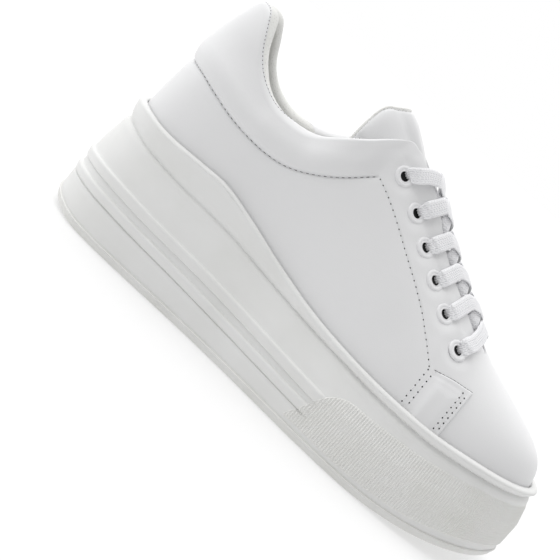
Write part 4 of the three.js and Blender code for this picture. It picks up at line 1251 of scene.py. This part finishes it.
# ---- eyelets
def eyelet(side, label, row):
    """A smooth enamelled ring with a barrel that goes through the facing; the barrel and the disc that
    closes it are near-black painted shade, for the hole's dark inside.
    """
    centre, out = EYELET_PLACES[side, row]
    toe = unit(np.array([1.0, 0, 0]) - out * out[0])
    other = np.cross(out, toe)
    ring = [(EYELET_FLANGE + 0.1, -0.35), (EYELET_FLANGE + 0.12, 0.0), (EYELET_FLANGE - 0.05, 0.3),
            (4.55, 0.55), (4.1, 0.66), (3.65, 0.64), (3.3, 0.5), (3.1, 0.42), (2.9, 0.47), (2.65, 0.55),
            (2.45, 0.42), (2.33, 0.1), (2.3, -0.2)]
    # The barrel and its closing disc take the painted-shade material: painted shade standing for the hole's
    # dark inside.
    bore = [(2.3, -0.2), (2.25, -0.7), (2.2, -1.3), (2.15, -1.7), (1.2, -1.72), (0.02, -1.73)]
    sides = 48
    profile = finer(np.array([(r, h, 0) for r, h in ring]), 2)
    angles = np.linspace(0, 2 * np.pi, sides, endpoint=False)

    def spin(rows):
        return np.array([[centre + out * h + (toe * np.cos(a) + other * np.sin(a)) * r for a in angles]
                         for r, h, *_ in rows])

    heap = Heap()
    heap.add(spin(profile), grid_faces(len(profile), sides, around=True))
    enamelled = len(heap.faces[0])
    heap.add(spin(bore), grid_faces(len(bore), sides, around=True))
    which = np.concatenate([np.zeros(enamelled, int), np.ones(len(heap.faces[1]), int)])
    node = f"eyelet_{label}_{row + 1}"
    heap.piece(f"ring_{label}_{row + 1}", [ENAMEL, PAINTED_SHADE], slot="eyelet_ring", replaces=[node], which=which)


# ---- laces
ALONG, ACROSS = 0.27, 30
BRAID_PITCH, BRAID_COLUMN, BRAID_DEPTH = 1.5, 0.95, 0.24

# How each lace leaves its eyelet, point by point, and which way its width lies there.
LACE_START = (
    # up the facing, towards the toe, level, width, how much of its width runs up the facing
    (1.9, 0.6, -1.6, 3.6, -0.3),
    (2.05, 0.8, -0.4, 4.6, -0.35),
    (2.5, 1.2, 0.7, 6.3, -0.42),
    (3.4, 1.7, 1.3, 7.4, -0.32),
    (5.0, 2.1, 1.8, 7.6, -0.1),
)
FIRST_START = LACE_START[:3] + ((3.5, 2.8, 1.6, 7.2, -0.6), (4.8, 4.5, 2.2, 7.6, -0.7))
BAR_START = LACE_START[:3] + ((3.6, 1.3, 1.5, 7.4, -0.1), (5.6, 1.6, 2.1, 7.6, 0))
# The share of the facing's curl that a crossing lace takes, by distance from the middle line.
lace_curl = through((-12, -9.5, -6, 0, 6, 9.5, 13, 19.5),
                    (0.6, 0.75, 0.55, 0.4, 0.65, 1.0, 0.55, 0), "flat")


def ribbon(points, wide_hint, widths):
    """A flat braided lace along a line: points, quads, the relief of its weave, and in the UV how deep in
    the weave's hollows each point lies, which darkens the colour as painted shade.
    """
    points, wide_hint, widths = (np.asarray(v, float) for v in (points, wide_hint, widths))
    fine = finer(points, 12)
    hint = finer(wide_hint, 12)
    breadth = finer(widths[:, None] * np.ones(3), 12)[:, 0]
    along = lengths(fine)
    where = np.linspace(0, along[-1], int(along[-1] / ALONG))
    line, hint = at_lengths(fine, along, where), at_lengths(hint, along, where)
    breadth = np.interp(where, along, breadth)
    tangent = unit(np.gradient(line, axis=0))
    wide = unit(hint - tangent * (hint * tangent).sum(-1, keepdims=True))
    up = unit(np.cross(tangent, wide))
    top = np.linspace(-1, 1, ACROSS)
    low = np.linspace(1, -1, 9)[1:-1]
    v = np.concatenate([top, low])
    camber = np.sqrt(np.clip(1 - np.abs(v)**5, 0, 1))
    lift = np.where(np.arange(len(v)) < ACROSS, 1, -1) * camber * LACE_THICK / 2
    mm = v[None, :] * breadth[:, None] / 2
    column = np.floor(mm / BRAID_COLUMN + 0.5)
    lean = np.where(column % 2 == 0, 1.0, -1.0)
    inside = mm - column * BRAID_COLUMN
    stroke = np.cos(2 * np.pi * (where[:, None] + lean * inside * 1.1 + column * 0.5) / BRAID_PITCH)
    weave = BRAID_DEPTH * (0.55 * stroke - 0.9 * (np.abs(inside) / (BRAID_COLUMN / 2))**3)
    weave = weave * (np.arange(len(v)) < ACROSS) * camber
    height = lift[None, :] + weave
    grid = (line[:, None] + wide[:, None] * mm[..., None] + up[:, None] * height[..., None])
    faces = grid_faces(len(where), len(v), around=True)
    # How deep in the weave each point lies, carried in the UV to darken the lace's colour there: painted
    # shade.
    painted_weave_shade = np.clip(-weave / BRAID_DEPTH, 0, 1)**1.6
    uv = np.stack([painted_weave_shade, mm], -1)
    return grid.reshape(-1, 3), faces, uv.reshape(-1, 2)


def over_last(x, y, level):
    side, turn, rise = place_from_above(np.array(x, float), np.array(y, float))
    normal = last_normal(side, turn, rise)
    return last_point(side, turn, rise) + normal * np.asarray(level, float)[..., None], normal


def start_of_lace(side, row, stops):
    """The points from inside an eyelet up over its ring, with the lace's lie and width at each."""
    centre, out = EYELET_PLACES[side, row]
    toe = unit(np.array([1.0, 0, 0]) - out * out[0])
    up = unit(np.array([0, -side, 0]) - out * (-side * out[1]))
    up = unit(up - toe * (up @ toe))
    edge = EYELETS["spread"][row] - THROAT_HALF
    points = [centre + up * u + toe * t + out * (level + facing_curl(centre[0] + t, edge - u))
              for u, t, level, *_ in stops]
    return points, [side * unit(toe + up * lean) for *_, lean in stops], [stop[3] for stop in stops]


# How a lace crosses: its distance from the middle line (below 0 on the far side), how far it has run
# towards the toe, and its level over the last. The first one runs further towards the toe and lies lower.
CROSSING = {
    "away": (11.5, 8.0, 4.0, 0.0, -3.5, -6.3, -7.8, -9.2, -12.0),
    "ahead": (2.5, 3.0, 4.7, 7.1, 9.2, 10.4, 10.8, 11.0, 11.2),
    "level": (2.3, 2.9, 3.7, 3.9, 3.0, 1.2, -1.2, -2.9, -3.4),
}
FIRST_CROSSING = {
    "away": (12.0, 8.0, 4.0, 0.0, -3.8, -6.5, -7.9, -9.2, -12.0),
    "ahead": (5.2, 8.0, 10.8, 13.0, 14.8, 15.6, 15.9, 16.0, 16.1),
    "level": (2.6, 3.1, 3.1, 2.7, 2.1, 0.8, -1.2, -2.9, -3.4),
}
OVER, UNDER = 0.75, -0.65


def lace_run(side, row):
    start, crossing = (FIRST_START, FIRST_CROSSING) if row == 0 else (LACE_START, CROSSING)
    points, hints, widths = start_of_lace(side, row, start)
    x0, spread = EYELETS["x"][row], EYELETS["spread"][row]
    weave = OVER if side == LATERAL else UNDER
    away, ahead, level = (np.array(crossing[column]) for column in ("away", "ahead", "level"))
    away = np.where(away > 8, away + 0.55 * (spread - EYELETS["spread"][0]), away)
    x = x0 + ahead
    y = middle_y(x) + side * away
    level = level + weave * np.exp(-((away + 2.5) / 3.5)**2) + facing_lift(x) * lace_curl(away)
    p, n = over_last(x, y, level)
    run = np.gradient(p, axis=0)
    toe = unit(np.array([1.0, 0, 0]) - n * n[:, :1])
    run = unit(run - n * (run * n).sum(-1, keepdims=True))
    hint = side * unit(toe - run * (toe * run).sum(-1, keepdims=True))
    return ribbon(points + list(p), hints + list(hint), widths + [LACE_WIDTH] * len(p))


def lace_bar():
    row = ROWS - 1
    first, first_hints, first_widths = start_of_lace(LATERAL, row, BAR_START)
    last, last_hints, last_widths = start_of_lace(MEDIAL, row, BAR_START)
    x, spread = EYELETS["x"][row], EYELETS["spread"][row]
    points, hints, widths = list(first), list(first_hints), list(first_widths)
    for away in (18, 14, 10, 6, 3, 0, -3, -6, -10, -14, -18):
        bow = x + 2.5 - 1.7 * math.exp(-(away / 6)**2)
        p, n = over_last(bow, middle_y(bow) - away, 2.3 + 1.2 * math.exp(-(away / 9)**2))
        points.append(p)
        hints.append(LATERAL * unit(np.array([1.0, 0, 0]) - n * n[0]))
        widths.append(LACE_WIDTH)
    points += last[::-1]
    hints += [-hint for hint in last_hints[::-1]]
    widths += last_widths[::-1]
    return ribbon(points, hints, widths)


def laces():
    for row in range(ROWS - 1):
        heap = Heap()
        for side in (MEDIAL, LATERAL):
            heap.add(*lace_run(side, row))
        heap.piece(f"lace_{row + 1}", [COTTON], slot="lace_cotton", replaces=[f"lace_cross_{row + 1}"])
    heap = Heap()
    heap.add(*lace_bar())
    heap.piece("lace_6", [COTTON], slot="lace_cotton", replaces=["lace_bar"])


# ---- build
lining_paths = upper_leather()
upper_lining()
midsole()
toe_ribs()
outsole()
insole()
TONGUE_PATH, TONGUE_NORMALS = tongue()

stitching = Stitching()
SEAM_PITCH, FACING_PITCH, EDGE_PITCH = 2.65, 2.9, 1.9
# The holes' sizes are for near-black blobs: painted shade in the needle holes and under the thread.
SEAM_HOLE, SEAM_THREAD = (1.55, 0.7, 0.12), (1.2, 0.5, 0.22)
NEEDLE_HOLE, FACING_THREAD = (0.85, 0.75, 0.08), (1.5, 0.35, 0.12)
TONGUE_HOLE, TONGUE_THREAD = (0.7, 0.4, 0.1), (1.2, 0.45, 0.2)
for label, side in SIDES.items():
    line, normals = seam_line(side, 9.5, SEAM_CORNER, 260)
    stitching.run(line, normals, SEAM_PITCH, SEAM_HOLE, SEAM_THREAD)
    line, normals = seam_line(side, SEAM_CORNER, SEAM_FOOT + 2, 160)
    stitching.run(line, normals, FACING_PITCH, NEEDLE_HOLE, FACING_THREAD, start=1.5)
    patch(side, label, stitching)
    for row in range(ROWS):
        eyelet(side, label, row)
stitching.run(TONGUE_PATH, TONGUE_NORMALS, EDGE_PITCH, TONGUE_HOLE, TONGUE_THREAD, sink=0.05)
for path, normals in lining_paths:
    stitching.run(path, normals, EDGE_PITCH, TONGUE_HOLE, TONGUE_THREAD)
# The needle holes are built as near-black blobs: painted shade.
stitching.build("needle_holes_painted_shade", stitching.holes, PAINTED_SHADE)
stitching.build("stitch_threads", stitching.threads, THREAD)
laces()


# ---- stage, light and camera
SKY_LEVEL, SKY_SLOPE = 0.8, (-0.25, 0.5, 0.25)
SUN_TOWARDS, SUN_STRENGTH, SUN_SPREAD = (-0.45, 0.0, 0.9), 1.1, 46
FLOOR_SIZE, FLOOR_GLOW = 3.0, 0.47
CAMERA_ANGLES = (5.7286, 10.9215, 40.9874)  # azimuth, elevation and roll
CAMERA_TARGET, CAMERA_DISTANCE = (107.4375, 0, 39.693), 722.765
FOCAL_LENGTH, SENSOR_WIDTH = 101.453, 36


def floor():
    steps = 60
    side = np.linspace(-FLOOR_SIZE, FLOOR_SIZE, steps)
    x, y = np.meshgrid(side, side)
    mesh = bpy.data.meshes.new("floor")
    points = np.stack([x, y, np.full(x.shape, 0.0)], -1).reshape(-1, 3)
    mesh.from_pydata(points.tolist(), [], grid_faces(steps, steps).tolist())
    paint = Paint("floor_paint", 0.9)
    paint.colour(paint.noise(400, 2), (0.45, 0.45, 0.45), (0.44, 0.44, 0.44))
    paint.shader.inputs["Emission Color"].default_value = (1, 1, 1, 1)
    paint.shader.inputs["Emission Strength"].default_value = FLOOR_GLOW
    mesh.materials.append(paint.material)
    put("floor", mesh)


def sky():
    """A white studio: brightest behind, above and on the heel's side, and plain white to the camera."""
    world = bpy.data.worlds.new("studio")
    bpy.context.scene.world = world
    world.use_nodes = True
    tree = world.node_tree
    out, shine = tree.nodes["World Output"], tree.nodes["Background"]
    way = tree.nodes.new("ShaderNodeTexCoord").outputs["Generated"]
    dot = tree.nodes.new("ShaderNodeVectorMath")
    dot.operation = "DOT_PRODUCT"
    tree.links.new(way, dot.inputs[0])
    dot.inputs[1].default_value = SKY_SLOPE
    level = tree.nodes.new("ShaderNodeMath")
    level.operation = "ADD"
    tree.links.new(dot.outputs["Value"], level.inputs[0])
    level.inputs[1].default_value = SKY_LEVEL
    tree.links.new(level.outputs[0], shine.inputs["Strength"])
    shine.inputs["Color"].default_value = (1.0, 1.0, 1.0, 1)
    back = tree.nodes.new("ShaderNodeBackground")
    ray, mix = tree.nodes.new("ShaderNodeLightPath"), tree.nodes.new("ShaderNodeMixShader")
    back.inputs["Color"].default_value = (1, 1, 1, 1)
    tree.links.new(ray.outputs["Is Camera Ray"], mix.inputs[0])
    tree.links.new(shine.outputs[0], mix.inputs[1])
    tree.links.new(back.outputs[0], mix.inputs[2])
    tree.links.new(mix.outputs[0], out.inputs[0])


def soft_sun(towards, strength, spread):
    """A broad even light from above and the heel's side, so that edges facing up catch it."""
    lamp = bpy.data.lights.new("sun", "SUN")
    lamp.energy, lamp.angle = strength, math.radians(spread)
    thing = put("sun", lamp)
    thing.rotation_mode = "QUATERNION"
    thing.rotation_quaternion = Vector(towards).normalized().to_track_quat("Z", "Y")


def camera():
    """Seen from the lateral side, a little from the toe and from above, and rolled clockwise."""
    azimuth, elevation, roll = (math.radians(angle) for angle in CAMERA_ANGLES)
    back = np.array([math.sin(azimuth) * math.cos(elevation), -math.cos(azimuth) * math.cos(elevation),
                     math.sin(elevation)])
    right = np.array([math.cos(azimuth), math.sin(azimuth), 0])
    up = np.cross(back, right)
    x_axis = right * math.cos(roll) + up * math.sin(roll)
    y_axis = -right * math.sin(roll) + up * math.cos(roll)
    lens = bpy.data.cameras.new("camera")
    lens.lens, lens.sensor_width = FOCAL_LENGTH, SENSOR_WIDTH
    thing = put("camera", lens)
    place = Vector(to_row(np.array(CAMERA_TARGET) + back * CAMERA_DISTANCE))
    turned = Matrix(np.stack([x_axis, y_axis, back], 1).tolist())
    thing.matrix_world = Matrix.Translation(place) @ turned.to_4x4()
    bpy.context.scene.camera = thing


floor()
sky()
soft_sun(SUN_TOWARDS, SUN_STRENGTH, SUN_SPREAD)
camera()
bpy.context.scene.view_settings.view_transform = "Standard"
